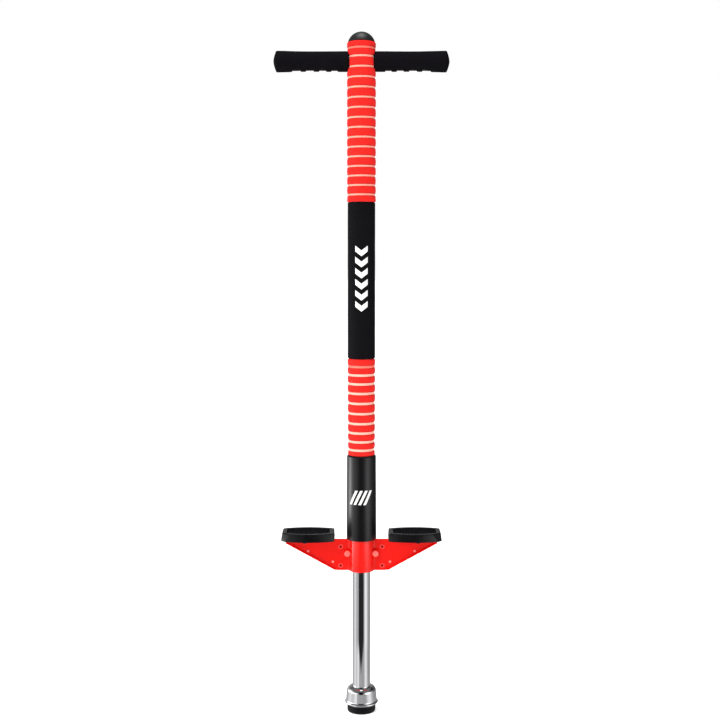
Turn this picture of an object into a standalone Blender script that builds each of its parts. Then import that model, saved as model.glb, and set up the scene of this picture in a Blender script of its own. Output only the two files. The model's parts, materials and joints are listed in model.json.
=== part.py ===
"""Spring pogo stick, about 0.95 m tall, as separate parts.

+X runs along the handlebar, +Y points away from the rider, +Z is up. The origin is
on the stick's axis, on the plane that the rubber foot stands on. All sizes are in metres.
"""

import math

import bmesh
import bpy
from mathutils import Matrix

# ---------------------------------------------------------------- driving dimensions
HEIGHT = 0.9505
GAP = 0.0003  # clearance kept between touching pieces

MAIN_TUBE_RADIUS = 0.0159
MAIN_TUBE_BORE = 0.0147
MAIN_TUBE_BOTTOM = 0.2057
MAIN_TUBE_TOP = 0.9360

PISTON_RADIUS = 0.0125
PISTON_BORE = 0.0110
PISTON_TOP = 0.3075

HANDLE_Z = 0.9104
HANDLE_TUBE_RADIUS = 0.0110
HANDLE_TUBE_BORE = 0.0095
HANDLE_TUBE_HALF_LENGTH = 0.1138
HANDLE_PLUG_HEAD = 0.0015
HANDLE_PLUG_LENGTH = 0.0080
GRIP_RADIUS = 0.0140
GRIP_INNER_END = 0.0169
GRIP_OUTER_END = 0.1203
GRIP_INNER_CHAMFER = (0.0022, 0.0024)  # off the radius, along the grip
GRIP_DOME_DEPTH = 0.0044
GRIP_GROOVE_DEPTH = 0.0020
GRIP_GROOVES = ((0.0370, 0.0088), (0.0531, 0.0095), (0.0708, 0.0107), (0.0892, 0.0120))

UPPER_FOAM_BOTTOM = 0.7198
CENTRE_FOAM_BOTTOM = 0.5036
LOWER_FOAM_BOTTOM = 0.3678
BARREL_BOTTOM = 0.2484
FOAM_BORE = 0.0161
FOAM_TOP_RADIUS = 0.0196
FOAM_RING_RADIUS = 0.0193
FOAM_WAIST_RADIUS = 0.0189
FOAM_LOW_RADIUS = 0.0187
FOAM_EDGE = 0.0006  # chamfer on the sleeves' ends
FOAM_PINCH_HALF_WIDTH = 0.0165
FOAM_PINCH_HALF_HEIGHT = 0.0148
BARREL_TOP_RADIUS = 0.0202
BARREL_BOTTOM_RADIUS = 0.0209

CAP_SPHERE_RADIUS = 0.0190
CAP_CLEARANCE = 0.0025  # between the cap's plug and the handlebar

BRACKET_TOP = 0.2481
BRACKET_BOTTOM = 0.2036
BRACKET_SHEET = 0.0012
BRACKET_COLLAR_RADIUS = 0.0173
BRACKET_FILLET = 0.0020
BRACKET_TIP_X = 0.1064
BRACKET_TIP_Z = 0.2430
BRACKET_FLAT_X = 0.0349
FLANGE_INNER_X = 0.0395
FLANGE_DEPTH = 0.0180
FLANGE_CORNER = 0.0060
FLANGE_TIP_CORNER = 0.0030
LIP_DEPTH = 0.0060
CUTTER_LENGTH = 0.0400  # longer than anything that the front-to-back holes go through

BOLT_X, BOLT_Z = 0.0197, 0.2286
BOLT_SHANK_RADIUS = 0.0029
BOLT_HEAD_RADIUS = 0.0043
BOLT_HEAD_RIM = 0.0007
BOLT_HEAD_DOME = 0.0020
BOSS_BASE_RADIUS = 0.0060
BOSS_TOP_RADIUS = 0.0047
BOSS_FACE_Y = 0.0072
BOLT_TIP = 0.0050  # how far the bolt stands out behind the rear boss
NUT_RADIUS = 0.0046
NUT_HEIGHT = 0.0040
EYELET_X = 0.0293
EYELET_HEIGHTS = (0.2104, 0.2373)
EYELET_BORE = 0.0017
EYELET_FLARE = 0.0035
EYELET_LIP = 0.0008
SMALL_RIVETS = ((0.0752, 0.2309), (0.0404, 0.2157))
RIVET_HEAD = 0.0018
RIVET_RISE = 0.0009

PAD_INNER_X = 0.0378
PAD_OUTER_X = 0.1128
PAD_HALF_DEPTH_END = 0.0195
PAD_HALF_DEPTH_MIDDLE = 0.0265
PAD_THICKNESS = 0.0112
PAD_RIM = 0.0058
PAD_RECESS = 0.0022
PAD_FRONT_CORNER = (0.0080, 0.0048)  # along the pad, across it
PAD_REAR_CORNER = (0.0030, 0.0024)
PAD_SCREW_X, PAD_SCREW_Y = 0.0797, 0.0090
PAD_SCREW_REACH = 0.0075
PAD_SCREW_HEAD_RADIUS = 0.0027
PAD_SCREW_HEAD_DEPTH = 0.0032
PAD_BORE_DEPTH = 0.0070

BUSHING_TOP = 0.2650
BUSHING_BOTTOM = 0.2043
BUSHING_LIP_RADIUS = 0.0158
BUMPER_HEIGHT = 0.0120
SLIDING_CLEARANCE = 0.0005
FERRULE_BOTTOM = 0.0112
FERRULE_TOP = 0.0362
FERRULE_SHOULDER_RISE = 0.0076
FERRULE_RADIUS = 0.0209
FERRULE_SKIRT_RADIUS = 0.0217
FERRULE_BEAD_RADIUS = 0.0235
FERRULE_BEAD_Z = 0.0136
FERRULE_BEAD_HALF = 0.0018
FERRULE_NECK_RADIUS = 0.0133
FOOT_RADIUS = 0.0200
FOOT_EDGE = 0.0024
FOOT_SEAT_Z = 0.0167
FOOT_STEM_TOP = 0.0322

SPRING_WIRE_RADIUS = 0.00175
SPRING_MEAN_RADIUS = 0.0105
SPRING_TURNS = 19
SPRING_BOTTOM = 0.3130
SPRING_TOP = 0.5630
SPRING_POINTS_PER_TURN = 10
SPRING_END_RISE = 2.15 * SPRING_WIRE_RADIUS  # of each closed end coil
SPRING_SEAT_HEIGHT = 0.0180
SPIGOT_RADIUS = 0.0079
SPIGOT_LENGTH = 0.0150

HANDLE_PIN_RADIUS = 0.0025
SEAT_PIN_RADIUS, SEAT_PIN_Z = 0.0030, 0.5720
FERRULE_PIN_RADIUS, FERRULE_PIN_Z = 0.0016, 0.0245
BUSHING_PIN_RADIUS, BUSHING_PIN_Z = 0.0015, 0.2255
EYELET_SHANK = 0.0022
RIVET_SHANK = 0.0011
PAD_SCREW_SHANK = 0.0014

ROUND = 32  # sides of the large round parts
SMALL_ROUND = 16  # sides of bolts, pins and rivets

Z_TO_X = Matrix.Rotation(math.pi / 2, 4, "Y")  # turns +Z to +X
Z_TO_FRONT = Matrix.Rotation(math.pi / 2, 4, "X")  # turns +Z to -Y, the front

parts = None
cutters = None


# ---------------------------------------------------------------- scene and materials
def clear_scene():
    for obj in list(bpy.data.objects):
        bpy.data.objects.remove(obj, do_unlink=True)


def make_collections():
    global parts, cutters
    parts = bpy.data.collections.new("pogo_stick")
    cutters = bpy.data.collections.new("cutters")
    for collection in (parts, cutters):
        bpy.context.scene.collection.children.link(collection)


def material(name, colour, roughness, metallic=0.0):
    made = bpy.data.materials.new(name)
    made.use_nodes = True
    shader = made.node_tree.nodes["Principled BSDF"]
    shader.inputs["Base Color"].default_value = (*colour, 1.0)
    shader.inputs["Roughness"].default_value = roughness
    shader.inputs["Metallic"].default_value = metallic
    return made


# name: colour, roughness, metallic
FINISHES = {
    "red_foam": ((0.86, 0.035, 0.02), 0.85),
    "black_foam": ((0.012, 0.011, 0.013), 0.9),
    "black_plastic": ((0.013, 0.012, 0.015), 0.35),
    "black_rubber": ((0.014, 0.014, 0.017), 0.7),
    "white_nylon": ((0.78, 0.77, 0.72), 0.45),
    "red_paint": ((0.85, 0.02, 0.008), 0.3),
    "plain_steel": ((0.42, 0.42, 0.43), 0.35, 1.0),
    "zinc_steel": ((0.62, 0.62, 0.64), 0.3, 1.0),
    "spring_steel": ((0.2, 0.2, 0.21), 0.4, 1.0),
    "chrome": ((0.85, 0.85, 0.87), 0.06, 1.0),
}


def finish(obj, name):
    """Gives the object its own material, with the look of one of FINISHES."""
    obj.data.materials.clear()
    obj.data.materials.append(material(f"{obj.name}_{name}", *FINISHES[name]))


# ---------------------------------------------------------------- modelling helpers
def add_object(name, data, collection, matrix=None):
    obj = bpy.data.objects.new(name, data)
    collection.objects.link(obj)
    if matrix is not None:
        obj.matrix_world = matrix
    return obj


def smooth(obj):
    obj.data.shade_smooth()
    obj.data.set_sharp_from_angle(angle=math.radians(35))


def hide_as_cutter(obj):
    obj.hide_render = True
    obj.display_type = "WIRE"
    return obj


def turned(name, profile, look, matrix=None, sides=ROUND, closed=True):
    """A turned part. The profile holds (radius, height) pairs and runs down the outer side.

    A closed profile is a ring round a bore, and an open one starts and ends on the axis.
    """
    mesh = bpy.data.meshes.new(name)
    count = len(profile)
    edges = [(i, i + 1) for i in range(count - 1)]
    if closed:
        edges.append((count - 1, 0))
    mesh.from_pydata([(radius, 0.0, height) for radius, height in profile], edges, [])
    obj = add_object(name, mesh, parts, matrix)
    screw = obj.modifiers.new("turn", "SCREW")
    screw.axis = "Z"
    screw.steps = screw.render_steps = sides
    screw.use_merge_vertices = True
    screw.merge_threshold = 0.00001
    screw.use_smooth_shade = True
    finish(obj, look)
    return obj


def tube_profile(outer, inner, bottom, top, chamfer=0.0):
    """The ring profile of a plain tube, its two outer edges chamfered."""
    if not chamfer:
        return [(outer, top), (outer, bottom), (inner, bottom), (inner, top)]
    return [
        (outer - chamfer, top), (outer, top - chamfer), (outer, bottom + chamfer),
        (outer - chamfer, bottom), (inner, bottom), (inner, top),
    ]


def mesh_object(name, bm, collection, matrix=None):
    mesh = bpy.data.meshes.new(name)
    bm.to_mesh(mesh)
    bm.free()
    return add_object(name, mesh, collection, matrix)


def cylinder(name, radius, length, matrix, collection=None, top_radius=None, sides=SMALL_ROUND):
    """A cylinder or cone whose axis is the matrix's own Z, centred on its origin."""
    bm = bmesh.new()
    bmesh.ops.create_cone(
        bm, cap_ends=True, segments=sides, radius1=radius,
        radius2=radius if top_radius is None else top_radius, depth=length,
    )
    return mesh_object(name, bm, collection or parts, matrix)


def box(name, low, high, collection):
    """An axis-parallel box between two corners."""
    bm = bmesh.new()
    bmesh.ops.create_cube(bm, size=1.0)
    for vertex in bm.verts:
        vertex.co = [a + (b - a) * (c + 0.5) for a, b, c in zip(low, high, vertex.co)]
    return mesh_object(name, bm, collection)


def plate(name, outline, thickness, matrix, collection=None):
    """A flat outline in the matrix's XY plane, made solid to half its thickness each side."""
    curve = bpy.data.curves.new(name, "CURVE")
    curve.dimensions = "2D"
    curve.fill_mode = "BOTH"
    curve.extrude = thickness / 2
    spline = curve.splines.new("POLY")
    spline.points.add(len(outline) - 1)
    for point, (x, y) in zip(spline.points, outline):
        point.co = (x, y, 0.0, 1.0)
    spline.use_cyclic_u = True
    return solid_from_curve(name, curve, matrix, collection or parts)


def solid_from_curve(name, curve, matrix, collection):
    """The closed mesh of a curve, its caps welded to its sides."""
    source = add_object(name + "_curve", curve, collection, matrix)
    bpy.context.view_layer.update()
    evaluated = source.evaluated_get(bpy.context.evaluated_depsgraph_get())
    mesh = bpy.data.meshes.new_from_object(evaluated)
    place = source.matrix_world.copy()
    bpy.data.objects.remove(source, do_unlink=True)
    bm = bmesh.new()
    bm.from_mesh(mesh)
    bmesh.ops.remove_doubles(bm, verts=bm.verts, dist=0.00001)
    bmesh.ops.recalc_face_normals(bm, faces=bm.faces)
    bm.to_mesh(mesh)
    bm.free()
    mesh.name = name
    return add_object(name, mesh, collection, place)


def boolean(obj, other, operation):
    hide_as_cutter(other)
    modifier = obj.modifiers.new(other.name, "BOOLEAN")
    modifier.operation = operation
    modifier.solver = "EXACT"
    modifier.object = other


def cut(obj, *tools):
    for tool in tools:
        boolean(obj, tool, "DIFFERENCE")


def join(obj, *others):
    for other in others:
        boolean(obj, other, "UNION")


def along(axis_turn, x=0.0, y=0.0, z=0.0):
    """A matrix at a place, its own Z turned by axis_turn."""
    return Matrix.Translation((x, y, z)) @ axis_turn


def arc(centre, radius, start, end, steps):
    """Points on an arc, from one angle to another in degrees."""
    turns = [math.radians(start + (end - start) * i / steps) for i in range(steps + 1)]
    return [(centre[0] + radius * math.cos(t), centre[1] + radius * math.sin(t)) for t in turns]


# ---------------------------------------------------------------- cutters shared by several parts
def make_shared_cutters():
    """Cross holes that go through more than one part, by name."""
    holes = {
        "handle_hole": (HANDLE_TUBE_RADIUS, Z_TO_X, HANDLE_Z),
        "handle_pin_hole": (HANDLE_PIN_RADIUS, Z_TO_FRONT, HANDLE_Z),
        "seat_pin_hole": (SEAT_PIN_RADIUS, Z_TO_FRONT, SEAT_PIN_Z),
        "ferrule_pin_hole": (FERRULE_PIN_RADIUS, Z_TO_X, FERRULE_PIN_Z),
        "bushing_pin_hole": (BUSHING_PIN_RADIUS, Z_TO_FRONT, BUSHING_PIN_Z),
    }
    length = 3 * FERRULE_BEAD_RADIUS
    made = {}
    for name, (radius, turn, z) in holes.items():
        sides = ROUND if name == "handle_hole" else SMALL_ROUND
        hole = cylinder(name, radius + GAP, length, along(turn, z=z), cutters, sides=sides)
        made[name] = hide_as_cutter(hole)
    return made


# ---------------------------------------------------------------- main tube and handlebar
def make_main_tube(holes):
    tube = turned(
        "main_tube",
        tube_profile(MAIN_TUBE_RADIUS, MAIN_TUBE_BORE, MAIN_TUBE_BOTTOM, MAIN_TUBE_TOP),
        "plain_steel",
    )
    cut(tube, holes["handle_hole"], holes["handle_pin_hole"])
    cut(tube, holes["seat_pin_hole"], holes["bushing_pin_hole"])


def make_handlebar(holes):
    length = HANDLE_TUBE_HALF_LENGTH
    tube = turned(
        "handlebar_tube",
        tube_profile(HANDLE_TUBE_RADIUS, HANDLE_TUBE_BORE, -length, length),
        "plain_steel",
        along(Z_TO_X, z=HANDLE_Z),
    )
    cut(tube, holes["handle_pin_hole"])
    pin_length = 2 * (MAIN_TUBE_RADIUS - GAP)
    pin = cylinder("handlebar_pin", HANDLE_PIN_RADIUS, pin_length, along(Z_TO_FRONT, z=HANDLE_Z))
    finish(pin, "zinc_steel")
    smooth(pin)
    head, edge = HANDLE_PLUG_HEAD, 0.0004
    plug_profile = [
        (0.0, head), (HANDLE_TUBE_RADIUS - edge, head), (HANDLE_TUBE_RADIUS, head - edge),
        (HANDLE_TUBE_RADIUS, 0.0), (HANDLE_TUBE_BORE - GAP, 0.0),
        (HANDLE_TUBE_BORE - GAP, -HANDLE_PLUG_LENGTH), (0.0, -HANDLE_PLUG_LENGTH),
    ]
    for side, sign in (("left", -1), ("right", 1)):
        turn = Matrix.Rotation(sign * math.pi / 2, 4, "Y")
        place = along(turn, x=sign * (length + GAP), z=HANDLE_Z)
        turned(f"handlebar_plug_{side}", plug_profile, "black_plastic", place, closed=False)


def make_grip(side, sign):
    """A foam grip with a closed, domed end and four finger grooves underneath."""
    length = GRIP_OUTER_END - GRIP_INNER_END
    bore = HANDLE_TUBE_RADIUS + GAP
    bore_end = HANDLE_TUBE_HALF_LENGTH + HANDLE_PLUG_HEAD + 2 * GAP - GRIP_INNER_END
    shoulder = length - GRIP_DOME_DEPTH
    profile = [(0.0, length)]
    for radius, rise in arc((0.0, 0.0), 1.0, 0, 90, 4)[::-1][1:]:
        profile.append((GRIP_RADIUS * radius, shoulder + GRIP_DOME_DEPTH * rise))
    drop, run = GRIP_INNER_CHAMFER
    profile += [(GRIP_RADIUS, run), (GRIP_RADIUS - drop, 0.0), (bore, 0.0), (bore, bore_end), (0.0, bore_end)]
    place = along(Matrix.Rotation(sign * math.pi / 2, 4, "Y"), x=sign * GRIP_INNER_END, z=HANDLE_Z)
    grip = turned(f"grip_{side}", profile, "black_foam", place, closed=False)
    floor = HANDLE_Z - GRIP_RADIUS + GRIP_GROOVE_DEPTH
    below = floor - 2 * GRIP_GROOVE_DEPTH
    for number, (centre, width) in enumerate(GRIP_GROOVES, 1):
        middle, slope = sign * centre, GRIP_GROOVE_DEPTH / 2
        narrow, wide = width / 2 - slope, width / 2 + slope
        outline = [
            (middle - narrow, floor), (middle - wide, below),
            (middle + wide, below), (middle + narrow, floor),
        ]
        cut(grip, plate(f"grip_groove_{side}_{number}", outline, CUTTER_LENGTH, Z_TO_FRONT, cutters))


def make_top_cap():
    """A part sphere over the foam's top edge, with a plug that goes into the main tube."""
    rim_z = MAIN_TUBE_TOP + 3 * GAP
    centre_z = HEIGHT - CAP_SPHERE_RADIUS
    rim_angle = math.degrees(math.asin((rim_z - centre_z) / CAP_SPHERE_RADIUS))
    dome = arc((0.0, centre_z), CAP_SPHERE_RADIUS, 90, rim_angle, 8)
    plug, edge = MAIN_TUBE_BORE - GAP, 0.001
    bottom = HANDLE_Z + HANDLE_TUBE_RADIUS + CAP_CLEARANCE
    profile = [(0.0, HEIGHT)] + dome[1:]
    profile += [(plug, rim_z), (plug, bottom + edge), (plug - edge, bottom), (0.0, bottom)]
    turned("top_cap", profile, "black_plastic", closed=False)


# ---------------------------------------------------------------- sleeves on the main tube
def make_upper_foam(holes):
    """The upper foam sleeve, squeezed flat on each side where a grip butts against it."""
    bottom, top = UPPER_FOAM_BOTTOM, MAIN_TUBE_TOP + GAP
    sleeve = turned(
        "upper_foam_sleeve",
        [
            (FOAM_TOP_RADIUS - 2 * FOAM_EDGE, top), (FOAM_TOP_RADIUS, top - 2 * FOAM_EDGE),
            (FOAM_RING_RADIUS, bottom + FOAM_EDGE), (FOAM_RING_RADIUS - FOAM_EDGE, bottom),
            (FOAM_BORE, bottom), (FOAM_BORE, top),
        ],
        "red_foam",
    )
    beyond = 2 * FOAM_TOP_RADIUS
    for side, sign in (("left", -1), ("right", 1)):
        near, far = sorted((sign * FOAM_PINCH_HALF_WIDTH, sign * beyond))
        low = (near, -beyond, HANDLE_Z - FOAM_PINCH_HALF_HEIGHT)
        high = (far, beyond, HANDLE_Z + FOAM_PINCH_HALF_HEIGHT)
        cut(sleeve, box(f"foam_pinch_{side}", low, high, cutters))
    cut(sleeve, holes["handle_hole"])


def make_plain_sleeve(name, look, top, bottom):
    """A sleeve between two ends, each a (radius, height) pair."""
    (top_radius, top_z), (bottom_radius, bottom_z) = top, bottom
    turned(
        name,
        [
            (top_radius - FOAM_EDGE, top_z), (top_radius, top_z - FOAM_EDGE),
            (bottom_radius, bottom_z + FOAM_EDGE), (bottom_radius - FOAM_EDGE, bottom_z),
            (FOAM_BORE, bottom_z), (FOAM_BORE, top_z),
        ],
        look,
    )


def make_sleeves(holes):
    make_upper_foam(holes)
    make_plain_sleeve(
        "centre_foam_sleeve", "black_foam",
        (FOAM_WAIST_RADIUS, UPPER_FOAM_BOTTOM - GAP), (FOAM_WAIST_RADIUS, CENTRE_FOAM_BOTTOM + GAP),
    )
    make_plain_sleeve(
        "lower_foam_sleeve", "red_foam",
        (FOAM_WAIST_RADIUS, CENTRE_FOAM_BOTTOM), (FOAM_LOW_RADIUS, LOWER_FOAM_BOTTOM + GAP),
    )
    make_plain_sleeve(
        "barrel_sleeve", "black_plastic",
        (BARREL_TOP_RADIUS, LOWER_FOAM_BOTTOM), (BARREL_BOTTOM_RADIUS, BARREL_BOTTOM),
    )


# ---------------------------------------------------------------- foot bracket
def bracket_section():
    """The pressed sheet seen from above: flat wings and a half-round collar, with bend radii."""
    back, front = -GAP / 2, -GAP / 2 - BRACKET_SHEET
    reach = BRACKET_COLLAR_RADIUS + BRACKET_FILLET
    bend_y = front - BRACKET_FILLET
    bend_x = math.sqrt(reach**2 - bend_y**2)
    lean = math.degrees(math.atan2(-bend_y, bend_x))
    outer_side = arc((bend_x, bend_y), BRACKET_FILLET, 90, 180 - lean, 3)
    outer_side += arc((0, 0), BRACKET_COLLAR_RADIUS, -lean, -90, 8)[1:]
    inner_side = arc((bend_x, bend_y), BRACKET_FILLET + BRACKET_SHEET, 90, 180 - lean, 3)
    inner_side += arc((0, 0), BRACKET_COLLAR_RADIUS - BRACKET_SHEET, -lean, -90, 8)[1:]
    outer = [(BRACKET_TIP_X, front)] + outer_side
    inner = [(BRACKET_TIP_X, back)] + inner_side
    mirrored_outer = [(-x, y) for x, y in reversed(outer[:-1])]
    mirrored_inner = [(-x, y) for x, y in inner[:-1]]
    return outer + mirrored_outer + mirrored_inner + list(reversed(inner))


def bracket_face():
    """The bracket seen from the front: level top, vertical tips, slanted sides, flat bottom."""
    right = [(BRACKET_FLAT_X, BRACKET_BOTTOM), (BRACKET_TIP_X, BRACKET_TIP_Z), (BRACKET_TIP_X, BRACKET_TOP)]
    left = [(-x, z) for x, z in reversed(right)]
    return right + left


def make_bracket_blank():
    """One plate's shape before its holes: folded sheet, top flanges, slanted lips and bosses."""
    height = BRACKET_TOP - BRACKET_BOTTOM
    middle = (BRACKET_TOP + BRACKET_BOTTOM) / 2
    blank = plate("bracket_front", bracket_section(), height, Matrix.Translation((0, 0, middle)))
    boolean(blank, plate("bracket_face", bracket_face(), CUTTER_LENGTH, Z_TO_FRONT, cutters), "INTERSECT")
    for side, sign in (("left", -1), ("right", 1)):
        add_bracket_folds(blank, side, sign)
    return blank


def add_bracket_folds(blank, side, sign):
    """Joins one wing's top flange, slanted lip and pressed boss to the sheet."""
    inside = (GAP + BRACKET_SHEET) / 2  # half way through the sheet's thickness
    inner, tip = sign * FLANGE_INNER_X, sign * BRACKET_TIP_X
    flange = [
        (inner, -inside), (inner, FLANGE_CORNER - FLANGE_DEPTH),
        (inner + sign * FLANGE_CORNER, -FLANGE_DEPTH), (tip - sign * FLANGE_TIP_CORNER, -FLANGE_DEPTH),
        (tip, FLANGE_TIP_CORNER - FLANGE_DEPTH), (tip, -inside),
    ]
    flange_place = Matrix.Translation((0, 0, BRACKET_TOP - BRACKET_SHEET / 2))
    join(blank, plate(f"flange_{side}", flange, BRACKET_SHEET, flange_place, cutters))

    run, rise = BRACKET_TIP_X - BRACKET_FLAT_X, BRACKET_TIP_Z - BRACKET_BOTTOM
    lip_height = BRACKET_SHEET * math.hypot(run, rise) / run
    foot = sign * BRACKET_FLAT_X
    lip = [
        (foot, BRACKET_BOTTOM), (tip, BRACKET_TIP_Z), (tip, BRACKET_TIP_Z + lip_height),
        (foot, BRACKET_BOTTOM + lip_height),
    ]
    lip_place = along(Z_TO_FRONT, y=-(LIP_DEPTH + inside) / 2)
    join(blank, plate(f"lip_{side}", lip, LIP_DEPTH - inside, lip_place, cutters))

    boss_place = along(Z_TO_FRONT, x=sign * BOLT_X, y=-(BOSS_FACE_Y + inside) / 2, z=BOLT_Z)
    boss = cylinder(
        f"boss_{side}", BOSS_BASE_RADIUS, BOSS_FACE_Y - inside, boss_place, cutters, BOSS_TOP_RADIUS
    )
    join(blank, boss)


def make_bracket_holes():
    height, middle = BRACKET_TOP - BRACKET_BOTTOM, (BRACKET_TOP + BRACKET_BOTTOM) / 2
    bore = BRACKET_COLLAR_RADIUS - BRACKET_SHEET
    bore_place = Matrix.Translation((0, 0, middle))
    holes = [cylinder("bracket_bore", bore, 2 * height, bore_place, cutters, sides=ROUND)]
    for side, sign in (("left", -1), ("right", 1)):
        places = [("bolt", BOLT_X, BOLT_Z, BOLT_SHANK_RADIUS)]
        places += [(f"eyelet_{i}", EYELET_X, z, EYELET_SHANK) for i, z in enumerate(EYELET_HEIGHTS, 1)]
        places += [(f"rivet_{i}", x, z, RIVET_SHANK) for i, (x, z) in enumerate(SMALL_RIVETS, 1)]
        for name, x, z, radius in places:
            place = along(Z_TO_FRONT, x=sign * x, z=z)
            holes.append(cylinder(f"{name}_hole_{side}", radius + GAP, CUTTER_LENGTH, place, cutters))
        for end, y in (("front", -PAD_SCREW_Y), ("rear", PAD_SCREW_Y)):
            place = Matrix.Translation((sign * PAD_SCREW_X, y, BRACKET_TOP))
            name = f"pad_screw_hole_{side}_{end}"
            holes.append(cylinder(name, PAD_SCREW_SHANK + GAP, 4 * BRACKET_SHEET, place, cutters))
    return holes


def make_bracket():
    front = make_bracket_blank()
    cut(front, *make_bracket_holes())
    finish(front, "red_paint")
    bpy.context.view_layer.update()
    evaluated = front.evaluated_get(bpy.context.evaluated_depsgraph_get())
    mesh = bpy.data.meshes.new_from_object(evaluated)
    mesh.name = "bracket_rear"
    rear = add_object("bracket_rear", mesh, parts, Matrix.Rotation(math.pi, 4, "Z") @ front.matrix_world)
    finish(rear, "red_paint")


# ---------------------------------------------------------------- fasteners of the bracket
def make_bracket_bolts():
    head = [(0.0, BOLT_HEAD_RIM + BOLT_HEAD_DOME)]
    for radius, rise in arc((0.0, 0.0), 1.0, 90, 0, 4)[1:]:
        head.append((BOLT_HEAD_RADIUS * radius, BOLT_HEAD_RIM + BOLT_HEAD_DOME * rise))
    end, edge = -(2 * BOSS_FACE_Y + BOLT_TIP), 0.0006
    bolt = head + [
        (BOLT_HEAD_RADIUS, 0.0), (BOLT_SHANK_RADIUS, 0.0), (BOLT_SHANK_RADIUS, end + edge),
        (BOLT_SHANK_RADIUS - edge, end), (0.0, end),
    ]
    seat = BOSS_FACE_Y + GAP
    for side, sign in (("left", -1), ("right", 1)):
        place = along(Z_TO_FRONT, x=sign * BOLT_X, y=-seat, z=BOLT_Z)
        turned(f"bracket_bolt_{side}", bolt, "red_paint", place, sides=SMALL_ROUND, closed=False)
        nut_place = along(Z_TO_FRONT, x=sign * BOLT_X, y=seat + NUT_HEIGHT / 2, z=BOLT_Z)
        nut = cylinder(f"bracket_nut_{side}", NUT_RADIUS, NUT_HEIGHT, nut_place, sides=6)
        cut(nut, cylinder(f"nut_bore_{side}", BOLT_SHANK_RADIUS + GAP, 2 * NUT_HEIGHT, nut_place, cutters))
        finish(nut, "red_paint")


def make_eyelets():
    """Tubular rivets, flared over both faces of the doubled sheet."""
    face = GAP / 2 + BRACKET_SHEET + GAP
    rim, lip = face + 0.4 * EYELET_LIP, face + EYELET_LIP
    profile = [
        (EYELET_SHANK, lip), (EYELET_FLARE, rim), (EYELET_FLARE, face), (EYELET_SHANK, face),
        (EYELET_SHANK, -face), (EYELET_FLARE, -face), (EYELET_FLARE, -rim), (EYELET_SHANK, -lip),
        (EYELET_BORE, -lip), (EYELET_BORE, lip),
    ]
    for side, sign in (("left", -1), ("right", 1)):
        for level, z in zip(("lower", "upper"), EYELET_HEIGHTS):
            place = along(Z_TO_FRONT, x=sign * EYELET_X, z=z)
            turned(f"eyelet_{side}_{level}", profile, "red_paint", place, sides=SMALL_ROUND)


def make_small_rivets():
    face = GAP / 2 + BRACKET_SHEET + GAP
    crown, crown_z, top = 0.6 * RIVET_HEAD, face + 0.8 * RIVET_RISE, face + RIVET_RISE
    profile = [
        (0.0, top), (crown, crown_z), (RIVET_HEAD, face), (RIVET_SHANK, face),
        (RIVET_SHANK, -face), (RIVET_HEAD, -face), (crown, -crown_z), (0.0, -top),
    ]
    for side, sign in (("left", -1), ("right", 1)):
        for end, (x, z) in zip(("outer", "inner"), SMALL_RIVETS):
            place = along(Z_TO_FRONT, x=sign * x, z=z)
            turned(f"rivet_{side}_{end}", profile, "zinc_steel", place, sides=SMALL_ROUND, closed=False)


# ---------------------------------------------------------------- foot pads
def pad_edge(inset, corner):
    """One long edge, bowed out, then the chamfer of its outer corner. Depths count outwards."""
    inner, outer = PAD_INNER_X + inset, PAD_OUTER_X - inset
    end, middle = PAD_HALF_DEPTH_END - inset, PAD_HALF_DEPTH_MIDDLE - inset
    half, centre = (outer - inner) / 2, (inner + outer) / 2
    run, rise = corner
    steps = 10
    edge = []
    for i in range(steps + 1):
        x = inner + (outer - run - inner) * i / steps
        edge.append((x, end + (middle - end) * (1 - ((x - centre) / half) ** 2)))
    edge.append((outer, end - rise))
    return edge


def pad_outline(sign, inset=0.0, corner_scale=1.0):
    """The pad seen from above: bowed long edges, a chamfered front corner, a nearly square rear one."""
    corners = PAD_FRONT_CORNER, PAD_REAR_CORNER
    front, rear = (pad_edge(inset, [corner_scale * size for size in corner]) for corner in corners)
    outline = [(x, -depth) for x, depth in front] + rear[::-1]
    return [(sign * x, y) for x, y in outline]


def make_pad(side, sign):
    bottom = BRACKET_TOP + GAP
    top = bottom + PAD_THICKNESS
    pad_place = Matrix.Translation((0, 0, (bottom + top) / 2))
    pad = plate(f"foot_pad_{side}", pad_outline(sign), PAD_THICKNESS, pad_place)
    recess_outline = pad_outline(sign, PAD_RIM, corner_scale=0.3)
    recess_place = Matrix.Translation((0, 0, top))
    cut(pad, plate(f"pad_recess_{side}", recess_outline, 2 * PAD_RECESS, recess_place, cutters))
    for end, y in (("front", -PAD_SCREW_Y), ("rear", PAD_SCREW_Y)):
        place = Matrix.Translation((sign * PAD_SCREW_X, y, bottom))
        name = f"pad_bore_{side}_{end}"
        cut(pad, cylinder(name, PAD_SCREW_SHANK + GAP, 2 * PAD_BORE_DEPTH, place, cutters))
        make_pad_screw(f"pad_screw_{side}_{end}", sign * PAD_SCREW_X, y)
    finish(pad, "black_rubber")


def make_pad_screw(name, x, y):
    """A self-tapping screw from below, up through the flange into the pad."""
    seat = BRACKET_TOP - BRACKET_SHEET - GAP
    tip = PAD_SCREW_SHANK / 2
    profile = [
        (0.0, PAD_SCREW_REACH), (tip, PAD_SCREW_REACH), (PAD_SCREW_SHANK, PAD_SCREW_REACH - 2 * tip),
        (PAD_SCREW_SHANK, 0.0), (PAD_SCREW_HEAD_RADIUS, 0.0),
        (PAD_SCREW_HEAD_RADIUS, -0.6 * PAD_SCREW_HEAD_DEPTH), (PAD_SCREW_SHANK, -PAD_SCREW_HEAD_DEPTH),
        (0.0, -PAD_SCREW_HEAD_DEPTH),
    ]
    turned(name, profile, "black_plastic", Matrix.Translation((x, y, seat)), sides=SMALL_ROUND, closed=False)


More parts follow.
